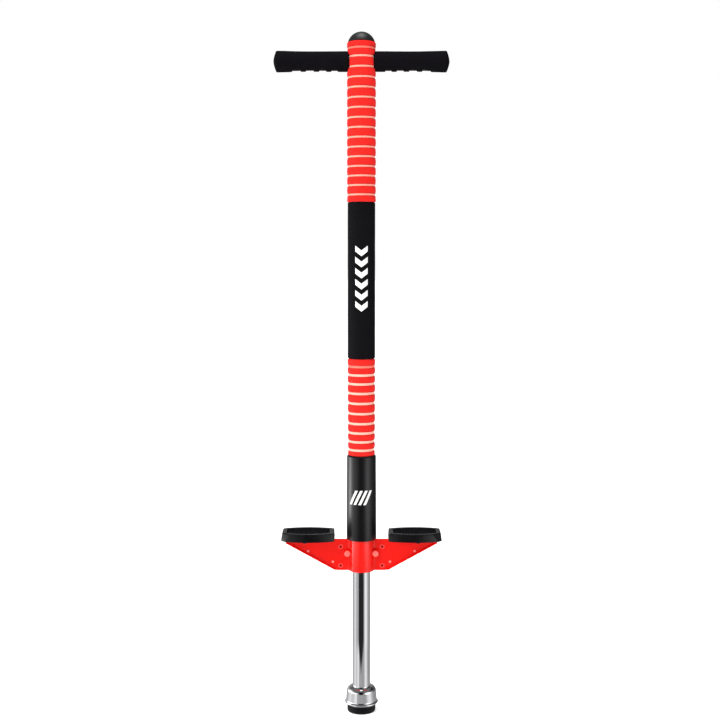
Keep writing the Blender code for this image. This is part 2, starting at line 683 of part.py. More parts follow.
# ---------------------------------------------------------------- guide bushing, spring and its seats
def make_bushing(holes):
    lip_top = MAIN_TUBE_BOTTOM - GAP
    bore = PISTON_RADIUS + GAP
    body = MAIN_TUBE_BORE - GAP
    bushing = turned(
        "guide_bushing",
        [
            (body, BUSHING_TOP), (body, lip_top), (BUSHING_LIP_RADIUS, lip_top),
            (BUSHING_LIP_RADIUS, BUSHING_BOTTOM), (bore, BUSHING_BOTTOM), (bore, BUSHING_TOP),
        ],
        "white_nylon",
    )
    cut(bushing, holes["bushing_pin_hole"])
    pin_inner, pin_outer = bore + GAP, BUSHING_LIP_RADIUS
    for end, y_sign in (("front", -1), ("rear", 1)):
        place = along(Z_TO_FRONT, y=y_sign * (pin_inner + pin_outer) / 2, z=BUSHING_PIN_Z)
        pin = cylinder(f"bushing_pin_{end}", BUSHING_PIN_RADIUS, pin_outer - pin_inner, place)
        finish(pin, "zinc_steel")
        smooth(pin)


def make_spring():
    """A compression spring with closed end coils, its centre line worked out turn by turn."""
    low = SPRING_BOTTOM + SPRING_WIRE_RADIUS + GAP
    high = SPRING_TOP - SPRING_WIRE_RADIUS - GAP
    pitch = (high - low - 2 * SPRING_END_RISE) / (SPRING_TURNS - 2)
    curve = bpy.data.curves.new("spring", "CURVE")
    curve.dimensions = "3D"
    curve.bevel_depth = SPRING_WIRE_RADIUS
    curve.bevel_resolution = 2
    curve.use_fill_caps = True
    spline = curve.splines.new("POLY")
    spline.points.add(SPRING_TURNS * SPRING_POINTS_PER_TURN)
    for i, point in enumerate(spline.points):
        turn = i / SPRING_POINTS_PER_TURN
        angle = 2 * math.pi * turn
        active = min(max(turn - 1, 0), SPRING_TURNS - 2)
        z = low + SPRING_END_RISE * (turn - active) + pitch * active
        point.co = (SPRING_MEAN_RADIUS * math.cos(angle), SPRING_MEAN_RADIUS * math.sin(angle), z, 1.0)
    spring = solid_from_curve("spring", curve, Matrix.Identity(4), parts)
    finish(spring, "spring_steel")
    smooth(spring)


def make_spring_seat(holes):
    """The plug that takes the spring's thrust, with a spigot inside the top coils."""
    plug, edge = MAIN_TUBE_BORE - GAP, 0.001
    top, spigot_end = SPRING_TOP + SPRING_SEAT_HEIGHT, SPRING_TOP - SPIGOT_LENGTH
    seat = turned(
        "spring_seat",
        [
            (0.0, top), (plug - edge, top), (plug, top - edge), (plug, SPRING_TOP),
            (SPIGOT_RADIUS, SPRING_TOP), (SPIGOT_RADIUS, spigot_end + edge),
            (SPIGOT_RADIUS - edge, spigot_end), (0.0, spigot_end),
        ],
        "black_plastic",
        closed=False,
    )
    cut(seat, holes["seat_pin_hole"])
    pin_length = 2 * (MAIN_TUBE_RADIUS - GAP)
    pin = cylinder("seat_pin", SEAT_PIN_RADIUS, pin_length, along(Z_TO_FRONT, z=SEAT_PIN_Z))
    finish(pin, "zinc_steel")
    smooth(pin)


# ---------------------------------------------------------------- plunger
def make_piston(holes):
    bottom = FOOT_SEAT_Z + GAP
    tube = turned("piston_tube", tube_profile(PISTON_RADIUS, PISTON_BORE, bottom, PISTON_TOP), "chrome")
    cut(tube, holes["ferrule_pin_hole"])


def make_piston_head():
    """The sliding cap on the piston's top end, which guides it and carries the spring."""
    bumper_bottom = BUSHING_TOP + GAP
    bumper_top = bumper_bottom + BUMPER_HEIGHT
    sliding, bore = MAIN_TUBE_BORE - SLIDING_CLEARANCE, PISTON_RADIUS + GAP
    shelf, edge = SPRING_BOTTOM - GAP, 0.0015
    turned(
        "piston_head",
        [
            (0.0, shelf + SPIGOT_LENGTH), (SPIGOT_RADIUS - edge, shelf + SPIGOT_LENGTH),
            (SPIGOT_RADIUS, shelf + SPIGOT_LENGTH - edge), (SPIGOT_RADIUS, shelf), (sliding, shelf),
            (sliding, bumper_top + GAP), (bore, bumper_top + GAP),
            (bore, PISTON_TOP + GAP), (0.0, PISTON_TOP + GAP),
        ],
        "white_nylon",
        closed=False,
    )
    bumper = tube_profile(sliding - GAP, bore, bumper_bottom, bumper_top, chamfer=0.0008)
    turned("rebound_bumper", bumper, "black_rubber")


def ferrule_profile():
    """The outer side is a rounded shoulder, a flared wall, a rolled bead and a tucked-in edge."""
    wall_top = FERRULE_TOP - FERRULE_SHOULDER_RISE
    profile = []
    for out, rise in arc((0.0, 0.0), 1.0, 90, 0, 5):
        radius = FERRULE_NECK_RADIUS + (FERRULE_RADIUS - FERRULE_NECK_RADIUS) * out
        profile.append((radius, wall_top + FERRULE_SHOULDER_RISE * rise))
    for out, rise in arc((0.0, 0.0), 1.0, 90, -90, 4):
        radius = FERRULE_SKIRT_RADIUS + (FERRULE_BEAD_RADIUS - FERRULE_SKIRT_RADIUS) * out
        profile.append((radius, FERRULE_BEAD_Z + FERRULE_BEAD_HALF * rise))
    seat_bore, seat_top, neck_bore = FOOT_RADIUS + GAP, FOOT_SEAT_Z + GAP, PISTON_RADIUS + GAP
    profile += [(FERRULE_RADIUS, FERRULE_BOTTOM), (seat_bore, FERRULE_BOTTOM), (seat_bore, seat_top)]
    profile += [(neck_bore, seat_top), (neck_bore, FERRULE_TOP)]
    return profile


def make_foot(holes):
    ferrule = turned("foot_ferrule", ferrule_profile(), "chrome")
    cut(ferrule, holes["ferrule_pin_hole"])
    place = along(Z_TO_X, z=FERRULE_PIN_Z)
    pin = cylinder("ferrule_pin", FERRULE_PIN_RADIUS, 2 * (FERRULE_RADIUS - GAP), place)
    finish(pin, "chrome")
    smooth(pin)
    stem, edge = PISTON_BORE - GAP, 0.001
    rubber = [
        (0.0, FOOT_STEM_TOP), (stem - edge, FOOT_STEM_TOP), (stem, FOOT_STEM_TOP - edge),
        (stem, FOOT_SEAT_Z), (FOOT_RADIUS, FOOT_SEAT_Z),
    ]
    rubber += arc((FOOT_RADIUS - FOOT_EDGE, FOOT_EDGE), FOOT_EDGE, 0, -90, 3)
    rubber.append((0.0, 0.0))
    foot = turned("rubber_foot", rubber, "black_rubber", closed=False)
    cut(foot, holes["ferrule_pin_hole"])


def main():
    clear_scene()
    make_collections()
    holes = make_shared_cutters()
    make_main_tube(holes)
    make_handlebar(holes)
    for side, sign in (("left", -1), ("right", 1)):
        make_grip(side, sign)
        make_pad(side, sign)
    make_top_cap()
    make_sleeves(holes)
    make_bracket()
    make_bracket_bolts()
    make_eyelets()
    make_small_rivets()
    make_bushing(holes)
    make_spring()
    make_spring_seat(holes)
    make_piston(holes)
    make_piston_head()
    make_foot(holes)


main()
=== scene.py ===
"""Spring pogo stick: the detailed visual model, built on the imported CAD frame.

Everything is in metres in the CAD's frame: +X along the handlebar, +Y away from the rider
(the camera stands on the -Y side) and +Z up from the plane under the rubber foot.
"""

import json
from math import acos, atan2, copysign, cos, hypot, pi, radians, sin, sqrt

import bmesh
import bpy
from mathutils import Matrix, Vector, noise


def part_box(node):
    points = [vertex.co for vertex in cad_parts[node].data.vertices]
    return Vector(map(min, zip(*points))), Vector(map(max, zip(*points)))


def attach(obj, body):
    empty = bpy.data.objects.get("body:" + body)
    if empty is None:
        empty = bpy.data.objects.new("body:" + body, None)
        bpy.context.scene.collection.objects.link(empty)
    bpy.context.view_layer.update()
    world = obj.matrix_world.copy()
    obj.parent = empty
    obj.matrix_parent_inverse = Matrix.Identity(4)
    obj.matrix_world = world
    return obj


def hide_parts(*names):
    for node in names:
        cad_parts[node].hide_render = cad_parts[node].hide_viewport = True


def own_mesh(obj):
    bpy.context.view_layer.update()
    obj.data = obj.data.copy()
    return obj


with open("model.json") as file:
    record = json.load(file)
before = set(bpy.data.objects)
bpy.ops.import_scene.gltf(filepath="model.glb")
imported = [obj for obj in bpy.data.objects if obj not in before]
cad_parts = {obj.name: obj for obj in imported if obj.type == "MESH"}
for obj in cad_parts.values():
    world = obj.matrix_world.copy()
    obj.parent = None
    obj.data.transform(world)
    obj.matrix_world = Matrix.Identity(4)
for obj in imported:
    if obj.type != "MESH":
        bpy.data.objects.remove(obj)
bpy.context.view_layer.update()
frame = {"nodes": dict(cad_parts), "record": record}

FRAME, PLUNGER = "frame", "plunger"


def span(node, axis):
    """The lowest and highest coordinate of a CAD node along one axis."""
    low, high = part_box(node)
    return low[axis], high[axis]


# ---------------------------------------------------------------- sizes, read from the CAD
HANDLE_Z = sum(span("handlebar_tube", 2)) / 2
HEIGHT = span("top_cap", 2)[1]
GRIP_OUTER_END = span("grip_right", 0)[1]
UPPER_BOTTOM, UPPER_TOP = span("upper_foam_sleeve", 2)
CENTRE_BOTTOM, CENTRE_TOP = span("centre_foam_sleeve", 2)
LOWER_BOTTOM, LOWER_TOP = span("lower_foam_sleeve", 2)
BARREL_BOTTOM, BARREL_TOP = span("barrel_sleeve", 2)
BRACKET_BOTTOM, BRACKET_TOP = span("bracket_front", 2)
BRACKET_TIP_X = span("bracket_front", 0)[1]
PAD_BOTTOM, PAD_TOP = span("foot_pad_right", 2)
PAD_INNER_X, PAD_OUTER_X = span("foot_pad_right", 0)
PAD_HALF_DEPTH = span("foot_pad_right", 1)[1]
PISTON_BOTTOM, PISTON_TOP = span("piston_tube", 2)
FERRULE_BOTTOM, FERRULE_TOP = span("foot_ferrule", 2)
FOOT_RADIUS = span("rubber_foot", 0)[1]
SPRING_BOTTOM, SPRING_TOP = span("spring", 2)
SPRING_RADIUS = span("spring", 0)[1]

# sizes of the shapes that the CAD's boxes don't give
FOAM_BORE = 0.0161
FOAM_RING_RADIUS, FOAM_WAIST_RADIUS, FOAM_LOW_RADIUS = 0.0198, 0.0190, 0.01885
GROOVE_DEPTH, UPPER_GROOVE_WIDTH, LOWER_GROOVE_WIDTH = 0.0015, 0.0029, 0.0037
PINCH_HALF_WIDTH, PINCH_FLARE, PINCH_EDGE, PINCH_REACH = 0.0165, 0.0032, 0.0150, 0.030
GRIP_RADIUS, GRIP_BORE, GRIP_INNER_RADIUS = 0.0137, 0.0113, 0.0136
GRIP_SWELL, GRIP_SWELL_START, GRIP_SWELL_END = 0.0006, 0.078, 0.117
GRIP_FINGER_GROOVES = ((0.0370, 0.0088), (0.0531, 0.0095), (0.0708, 0.0107), (0.0892, 0.0120))
GRIP_FINGER_DEPTH, GRIP_DOME = 0.0023, 0.0046
CAP_SPHERE_RADIUS = 0.0192
CAP_PLUG_RADIUS = 0.0144
BARREL_TOP_RADIUS, BARREL_BOTTOM_RADIUS = 0.0203, 0.0209
SHEET, SHEET_BEND, PLATE_GAP = 0.0012, 0.0014, 0.0003
FLANGE_TIP_CORNER = 0.0030
COLLAR_RADIUS, COLLAR_FILLET = 0.0173, 0.0020
BRACKET_FLAT_X, BRACKET_TIP_Z = 0.0349, 0.2430
FLANGE_INNER_X, FLANGE_DEPTH, LIP_DEPTH = 0.0395, 0.0180, 0.0060
BOLT_X, BOLT_Z = 0.0197, 0.2286
BOLT_HEAD_RADIUS, BOLT_SHANK_RADIUS, BOLT_RIM, BOLT_DOME = 0.0043, 0.0029, 0.0008, 0.0022
NUT_RADIUS, NUT_BORE, NUT_FLAT, NUT_HALF_HEIGHT = 0.0046, 0.0032, 0.0040, 0.0020
BOSS_FACE_Y, BOSS_BASE_RADIUS, BOSS_TOP_RADIUS = 0.0072, 0.0066, 0.0046
EYELET_X, EYELET_HEIGHTS = 0.0293, (0.2104, 0.2373)
SMALL_RIVETS = ((0.0752, 0.2309), (0.0404, 0.2157))
PAD_SCREW_X, PAD_SCREW_Y = 0.0797, 0.0090
PAD_RIM, PAD_RECESS = 0.0058, 0.0022
PAD_FRONT_CORNER_LOW, PAD_FRONT_CORNER_TOP = (0.0056, 0.0048), (0.0135, 0.0066)
PAD_REAR_CORNER, PAD_END_SHARE, PAD_DRAFT = (0.0030, 0.0022), 0.0195 / 0.0265, 0.0012
STUD_COLUMNS, STUD_ROWS, STUD_ROW_PITCH = 9, 5, 0.0066
STUD_HALF_X, STUD_HALF_Y, STUD_RISE = 0.0018, 0.0024, 0.0010
PISTON_RADIUS, PISTON_BORE = 0.0125, 0.0110
FERRULE_TOP_RADIUS, FERRULE_SKIRT_RADIUS, FERRULE_BEAD_RADIUS = 0.0209, 0.0219, 0.0236
SPRING_WIRE, SPRING_TURNS, SPRING_TRAVEL = 0.00175, 19, 0.120

MM = 0.001
SIDES = ("left", -1), ("right", 1)


# ---------------------------------------------------------------- material nodes
class Nodes:
    """Short calls for the nodes of one tree."""

    def __init__(self, tree):
        self.tree = tree

    def plug(self, socket, value):
        """Links a node's output into the socket, or sets the socket to a plain value."""
        if isinstance(value, bpy.types.NodeSocket):
            self.tree.links.new(value, socket)
        elif socket.type == "RGBA":
            socket.default_value = (*value, 1.0)
        else:
            socket.default_value = value

    def node(self, kind, inputs=(), **options):
        made = self.tree.nodes.new(f"ShaderNode{kind}")
        for key, value in options.items():
            setattr(made, key, value)
        for key, value in dict(inputs).items():
            self.plug(made.inputs[key], value)
        return made

    def math(self, operation, *values):
        return self.node("Math", enumerate(values), operation=operation).outputs[0]

    def remap(self, value, low, high, to_low, to_high):
        inputs = {"Value": value, "From Min": low, "From Max": high, "To Min": to_low, "To Max": to_high}
        return self.node("MapRange", inputs).outputs[0]

    def mix(self, share, first, second):
        inputs = {0: share, 6: first, 7: second}
        return self.node("Mix", inputs, data_type="RGBA").outputs[2]

    def within(self, value, centre, half):
        return self.math("COMPARE", value, centre, half)


class Look(Nodes):
    """One Principled material, with the textures that the finishes are made of."""

    def __init__(self, name, **values):
        self.material = bpy.data.materials.new(name)
        self.material.use_nodes = True
        super().__init__(self.material.node_tree)
        self.shader = self.tree.nodes["Principled BSDF"]
        self.place = self.node("TexCoord").outputs["Object"]
        for key, value in values.items():
            self.plug(self.shader.inputs[key.replace("_", " ")], value)

    def noise(self, size, detail=3.0, roughness=0.5, stretch=(1, 1, 1)):
        """Noise whose blobs are about size metres across, stretched by the given factors."""
        place = self.place
        if tuple(stretch) != (1, 1, 1):
            inverse = [1 / factor for factor in stretch]
            place = self.node("Mapping", {"Vector": place, "Scale": inverse}).outputs[0]
        inputs = {"Vector": place, "Scale": 1 / size, "Detail": detail, "Roughness": roughness}
        return self.node("TexNoise", inputs).outputs["Fac"]

    def cells(self, size):
        inputs = {"Vector": self.place, "Scale": 1 / size}
        return self.node("TexVoronoi", inputs).outputs["Distance"]

    def colour(self, value):
        self.plug(self.shader.inputs["Base Color"], value)

    def roughness(self, value):
        self.plug(self.shader.inputs["Roughness"], value)

    def bump(self, *layers):
        """Bump layers, each a height value and the depth in metres that 0 to 1 stands for."""
        normal = None
        for height, depth in layers:
            inputs = {"Height": height, "Distance": depth, "Strength": 1.0}
            if normal is not None:
                inputs["Normal"] = normal
            normal = self.node("Bump", inputs).outputs[0]
        self.plug(self.shader.inputs["Normal"], normal)

    def around_and_up(self):
        """Metres round the column's surface from its front line, and metres up."""
        x, y, z = self.node("SeparateXYZ", {"Vector": self.place}).outputs
        angle = self.math("ARCTAN2", x, self.math("MULTIPLY", y, -1.0))
        return self.math("MULTIPLY", angle, FOAM_WAIST_RADIUS), z


def foam_look(name, colour, dark, light, grain=0.9 * MM, specular=0.12, sheen=0.0):
    """Closed-cell foam: a skin of fine cells, with soft mottling and a few open pores."""
    look = Look(name, Specular_IOR_Level=specular, Sheen_Weight=sheen, Sheen_Roughness=0.5)
    mottle = look.noise(14 * MM, 4.0, 0.6)
    fine = look.noise(grain, 2.0, 0.6)
    pores = look.remap(look.cells(grain * 1.6), 0.0, 0.35, 0.0, 1.0)
    tone = look.mix(look.remap(mottle, 0.3, 0.7, 0.0, 1.0), dark, light)
    speckle = look.mix(look.remap(fine, 0.35, 0.75, 0.0, 1.0), colour, tone)
    look.colour(look.mix(look.remap(pores, 0.0, 1.0, 0.25, 0.0), speckle, [c * 0.6 for c in dark]))
    look.roughness(look.remap(mottle, 0.3, 0.7, 0.72, 0.85))
    look.bump((mottle, 0.25 * MM), (fine, 0.12 * MM), (pores, 0.05 * MM))
    return look


def plastic_look(name, colour, roughness, specular):
    """Moulded plastic: a fine spark-eroded grain, with handling marks in the gloss."""
    look = Look(name, Specular_IOR_Level=specular)
    cloud = look.noise(22 * MM, 4.0, 0.6)
    grains = look.noise(0.35 * MM, 2.0, 0.5)
    rubs = look.noise(2.5 * MM, 3.0, 0.7, (1, 1, 14))
    look.colour(look.mix(look.remap(cloud, 0.3, 0.7, 0.0, 1.0), colour, [c * 1.35 for c in colour]))
    worn = look.math("MULTIPLY", look.remap(rubs, 0.45, 0.75, 0.0, 1.0), 0.06)
    clouded = look.remap(cloud, 0.3, 0.7, roughness - 0.03, roughness + 0.04)
    look.roughness(look.math("ADD", clouded, worn))
    look.bump((cloud, 0.06 * MM), (grains, 0.015 * MM))
    return look


def rubber_look(name, colour, roughness, specular):
    """Moulded rubber: matte skin, a little chalky dust, fine pitting."""
    look = Look(name, Specular_IOR_Level=specular)
    dust = look.noise(9 * MM, 5.0, 0.65)
    pits = look.noise(0.6 * MM, 2.0, 0.6)
    chalky = [c * 1.9 + 0.001 for c in colour]
    look.colour(look.mix(look.remap(dust, 0.5, 0.8, 0.0, 1.0), colour, chalky))
    look.roughness(look.remap(dust, 0.3, 0.75, roughness - 0.06, roughness + 0.10))
    look.bump((dust, 0.08 * MM), (pits, 0.03 * MM))
    return look


def paint_look(name, colour, roughness, coat):
    """Gloss powder coat on pressed steel: orange peel, faint flow, a few dust nibs."""
    look = Look(name, Specular_IOR_Level=0.04, Coat_Weight=coat, Coat_Roughness=0.5 * roughness)
    cloud = look.noise(30 * MM, 3.0, 0.5)
    peel = look.noise(1.4 * MM, 2.0, 0.5)
    nibs = look.remap(look.cells(3.2 * MM), 0.0, 0.12, 1.0, 0.0)
    look.colour(look.mix(look.remap(cloud, 0.3, 0.7, 0.0, 1.0), colour, [c * 0.93 for c in colour]))
    look.roughness(look.remap(peel, 0.3, 0.7, roughness - 0.04, roughness + 0.06))
    look.bump((cloud, 0.10 * MM), (peel, 0.02 * MM), (nibs, 0.01 * MM))
    return look


def metal_look(name, colour, roughness, stretch=(1, 1, 1), depth=0.01 * MM, tarnish=0.08):
    """Metal with a drawn or turned grain, clouded by handling."""
    look = Look(name, Metallic=1.0)
    cloud = look.noise(18 * MM, 4.0, 0.6)
    grain = look.noise(0.5 * MM, 3.0, 0.6, stretch)
    dulled = [c * (1 - tarnish) for c in colour]
    look.colour(look.mix(look.remap(cloud, 0.35, 0.7, 0.0, 1.0), colour, dulled))
    look.roughness(look.remap(grain, 0.3, 0.7, roughness * 0.8, roughness * 1.25))
    look.bump((cloud, depth * 2), (grain, depth))
    return look


def printed(look, mask, ink):
    """Adds screen-print ink, a little glossier than the surface under it, where the mask is 1."""
    base = look.shader.inputs["Base Color"].links[0].from_socket
    patchy = look.remap(look.noise(1.1 * MM, 3.0, 0.7), 0.25, 0.4, 0.78, 1.0)
    look.colour(look.mix(look.math("MULTIPLY", mask, patchy), base, ink))
    rough = look.shader.inputs["Roughness"].links[0].from_socket
    lift = look.math("MULTIPLY", mask, -0.25)
    look.roughness(look.math("MAXIMUM", look.math("ADD", rough, lift), 0.3))


def stripes(look, along, pitch, half_share, *windows):
    """1 on the stripes that repeat with the value along, inside every (value, centre, half) window."""
    phase = look.math("FRACT", look.math("DIVIDE", along, pitch))
    mask = look.within(phase, 0.5, half_share)
    for window in windows:
        mask = look.math("MULTIPLY", mask, look.within(*window))
    return mask


def chevron_mask(look, bottom, top, half_width, count):
    """Stacked chevrons on the front of the column."""
    around, up = look.around_and_up()
    climbed = look.math("MULTIPLY", look.math("ABSOLUTE", around), CHEVRON_SLOPE)
    level = look.math("SUBTRACT", up, climbed)
    windows = (around, 0.0, half_width), (level, (top + bottom) / 2, (top - bottom) / 2)
    return stripes(look, look.math("SUBTRACT", level, bottom), (top - bottom) / count, 0.26, *windows)


def slash_mask(look, middle, half_height, half_width, count):
    """A row of slanted bars on the front of the column."""
    around, up = look.around_and_up()
    climbed = look.math("MULTIPLY", look.math("SUBTRACT", up, middle), SLASH_LEAN)
    leaned = look.math("SUBTRACT", look.math("ADD", around, 0.0012), climbed)
    windows = (leaned, 0.0, half_width), (up, middle, half_height)
    return stripes(look, look.math("ADD", leaned, half_width), 2 * half_width / count, 0.27, *windows)


CHEVRONS = {"bottom": 0.566, "top": 0.657, "half_width": 0.0088, "count": 6}
SLASHES = {"middle": 0.3105, "half_height": 0.0100, "half_width": 0.0130, "count": 4}
CHEVRON_SLOPE, SLASH_LEAN = 0.75, 0.45
INK = (0.80, 0.80, 0.78)
BLACK_FOAM = (0.0036, 0.0031, 0.0042), (0.0025, 0.0021, 0.0029), (0.0054, 0.0048, 0.0062)
DARK_PLASTIC = (0.0034, 0.0032, 0.0040)
FINISHES = {
    "red_foam": (
        foam_look, (0.74, 0.014, 0.011), (0.64, 0.011, 0.008), (0.80, 0.022, 0.017), 0.9 * MM, 0.10, 0.01,
    ),
    "cream_foam": (foam_look, (0.90, 0.36, 0.28), (0.86, 0.30, 0.23), (0.93, 0.43, 0.34)),
    "pale_foam": (foam_look, (0.95, 0.47, 0.37), (0.90, 0.40, 0.31), (0.97, 0.55, 0.45)),
    # painted shade: the darker red band along the edges of each groove
    "edge_foam": (foam_look, (0.50, 0.012, 0.008), (0.44, 0.009, 0.006), (0.60, 0.020, 0.015)),
    "faint_foam": (foam_look, (0.86, 0.16, 0.12), (0.80, 0.10, 0.07), (0.90, 0.24, 0.18)),
    "black_foam": (foam_look, *BLACK_FOAM, 0.9 * MM, 0.08),
    "grip_foam": (foam_look, *BLACK_FOAM, 1.1 * MM, 0.04),
    "printed_foam": (foam_look, *BLACK_FOAM, 0.9 * MM, 0.08),
    "black_plastic": (plastic_look, DARK_PLASTIC, 0.24, 0.4),
    "barrel_plastic": (plastic_look, (0.0030, 0.0028, 0.0036), 0.24, 0.30),
    "cap_plastic": (plastic_look, (0.0060, 0.0052, 0.0060), 0.40, 0.6),
    "black_fittings": (plastic_look, (0.006, 0.006, 0.007), 0.5, 0.35),
    "white_nylon": (plastic_look, (0.70, 0.69, 0.63), 0.45, 0.4),
    "black_rubber": (rubber_look, (0.0034, 0.0033, 0.0044), 0.55, 0.15),
    "pad_rubber": (rubber_look, (0.0016, 0.0016, 0.0024), 0.32, 0.32),
    "tread_rubber": (rubber_look, (0.0050, 0.0046, 0.0058), 0.88, 0.08),
    "red_paint": (paint_look, (0.76, 0.0055, 0.0020), 0.30, 0.7),
    # pale pink over the whole bolt head: a painted highlight that stands in for the glints on the domes
    "bolt_paint": (paint_look, (0.90, 0.14, 0.12), 0.16, 1.0),
    "rivet_red": (paint_look, (0.82, 0.05, 0.04), 0.30, 0.6),
    # painted shade: the dark middle of each tubular rivet, standing for its hole
    "rivet_core": (paint_look, (0.24, 0.003, 0.003), 0.30, 0.0),
    # pale pink on the small rivet heads: a painted highlight
    "pale_rivet": (paint_look, (0.85, 0.22, 0.20), 0.30, 0.6),
    "plain_steel": (metal_look, (0.40, 0.40, 0.41), 0.42, (1, 1, 20)),
    "zinc_steel": (metal_look, (0.62, 0.61, 0.60), 0.34),
    "spring_steel": (metal_look, (0.18, 0.18, 0.19), 0.38),
    "chrome": (metal_look, (0.86, 0.86, 0.88), 0.07, (1, 1, 30), 0.002 * MM, 0.03),
}


def make_looks():
    made = {name: maker(f"{name}_visual", *values) for name, (maker, *values) in FINISHES.items()}
    centre, barrel = made["printed_foam"], made["barrel_plastic"]
    printed(centre, chevron_mask(centre, **CHEVRONS), INK)
    printed(barrel, slash_mask(barrel, **SLASHES), INK)
    return {name: look.material for name, look in made.items()}


looks = make_looks()


# ---------------------------------------------------------------- mesh helpers
def linked(name, data):
    obj = bpy.data.objects.new(name, data)
    bpy.context.scene.collection.objects.link(obj)
    return obj


def object_of(name, bm, materials):
    mesh = bpy.data.meshes.new(name)
    bm.to_mesh(mesh)
    bm.free()
    for material in materials:
        mesh.materials.append(material)
    return linked(name, mesh)


def piece(name, bm, materials, node, sharp=38, body=FRAME):
    """Makes the mesh an object that stands for a CAD node, smooth but for its sharp edges."""
    bmesh.ops.recalc_face_normals(bm, faces=bm.faces)
    obj = object_of(name, bm, [looks[material] for material in materials])
    obj.data.shade_smooth()
    obj.data.set_sharp_from_angle(angle=radians(sharp))
    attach(obj, body)
    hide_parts(node)
    return obj


def strip(bm, first, second, closed=False):
    """A band of faces between two rows of vertices, round to its start if closed."""
    count = len(first)
    pairs = [(i, (i + 1) % count) for i in range(count if closed else count - 1)]
    return [bm.faces.new((first[i], first[j], second[j], second[i])) for i, j in pairs]


def filleted(points, steps=5, closed=False):
    """A profile with rounded corners: points are (radius, height) or (radius, height, fillet)."""
    made = []
    count = len(points)
    for i, (x, z, *fillet) in enumerate(points):
        corner = Vector((x, z))
        if not fillet or (not closed and i in (0, count - 1)):
            made.append((x, z))
            continue
        before = Vector(points[i - 1][:2]) - corner
        after = Vector(points[(i + 1) % count][:2]) - corner
        reach = min(fillet[0], before.length * 0.48, after.length * 0.48)
        start, end = corner + before.normalized() * reach, corner + after.normalized() * reach
        for step in range(steps + 1):
            t = step / steps
            point = start * (1 - t) ** 2 + corner * 2 * t * (1 - t) + end * t**2
            made.append((point.x, point.y))
    return made


def mirrored(profile):
    """The other end of a profile that is the same at both ends."""
    return [(radius, -height, *fillet) for radius, height, *fillet in reversed(profile)]


def turned(profile, segments=128, closed=False, matrix=None):
    """A bmesh of the (radius, height) profile turned about Z, then moved by the matrix."""
    bm = bmesh.new()
    rings = []
    for radius, height in profile:
        if radius < 1e-7:
            rings.append([bm.verts.new((0.0, 0.0, height))])
            continue
        turns = [2 * pi * i / segments for i in range(segments)]
        rings.append([bm.verts.new((radius * cos(t), radius * sin(t), height)) for t in turns])
    pairs = list(zip(rings, rings[1:]))
    if closed:
        pairs.append((rings[-1], rings[0]))
    for upper, lower in pairs:
        for i in range(segments):
            j = (i + 1) % segments
            corners = [upper[k % len(upper)] for k in (i, j)] + [lower[k % len(lower)] for k in (j, i)]
            bm.faces.new(dict.fromkeys(corners))
    if matrix is not None:
        bm.transform(matrix)
    return bm


def smoothstep(low, high, value):
    t = min(max((value - low) / (high - low), 0.0), 1.0)
    return t * t * (3 - 2 * t)


def soft_min(a, b, blend):
    """The lower of two values, the corner between them rounded over blend."""
    h = min(max(0.5 + 0.5 * (b - a) / blend, 0.0), 1.0)
    return b + (a - b) * h - blend * h * (1 - h)


def unevenness(point, size, depth):
    return depth * noise.noise(Vector(point) / size)


def facing(x, y, z):
    """Moves a turned shape to a place, with its axis to the front."""
    return Matrix.Translation((x, y, z)) @ Matrix.Rotation(pi / 2, 4, "X")


# ---------------------------------------------------------------- foam sleeves
def spread(first, last, count, bow):
    """Heights from first to last, each moved by bow() of its share of the way."""
    shares = [k / (count - 1) for k in range(count)]
    return [first + (last - first) * share + bow(share) for share in shares]


# Ring grooves, from the top down: the upper sleeve's first one is set by itself.
UPPER_GROOVES = [0.9273] + spread(0.9159, 0.7296, 15, lambda share: -0.0021 * 4 * share * (1 - share))
LOWER_GROOVES = spread(0.4942, 0.3776, 10, lambda share: 0.0019 * sin(2 * pi * share) - 0.0013)


def ringed_profile(bottom, top, bottom_radius, top_radius, grooves, width):
    """A sleeve's section, running down the outside: rings that bulge a little between grooves."""

    def outer(z):
        return bottom_radius + (top_radius - bottom_radius) * (z - bottom) / (top - bottom)

    points = [(outer(top) - 0.0022, top, 0.0012), (outer(top) - 0.0001, top - 0.0012, 0.0012)]
    for i, z in enumerate(grooves):
        half = width / 2
        depth = GROOVE_DEPTH * (0.6 if i == 0 else 1.0)
        radius = outer(z)
        points += [
            (radius - 0.00025, z + half + 0.0014, 0.0016),
            (radius - 0.00060, z + half, 0.0007), (radius - depth, z + half - 0.0005, 0.0004),
            (radius - depth, z - half + 0.0005, 0.0004), (radius - 0.00060, z - half, 0.0007),
            (radius - 0.00025, z - half - 0.0014, 0.0016),
        ]
        if i + 1 < len(grooves):
            middle = (z + grooves[i + 1]) / 2
            points.append((outer(middle) + 0.0001, middle, 0.0050))
    points += [
        (outer(bottom), bottom + 0.0010, 0.0008), (outer(bottom) - 0.0009, bottom, 0.0005),
        (FOAM_BORE, bottom), (FOAM_BORE, top),
    ]
    return filleted(points, 4, closed=True)


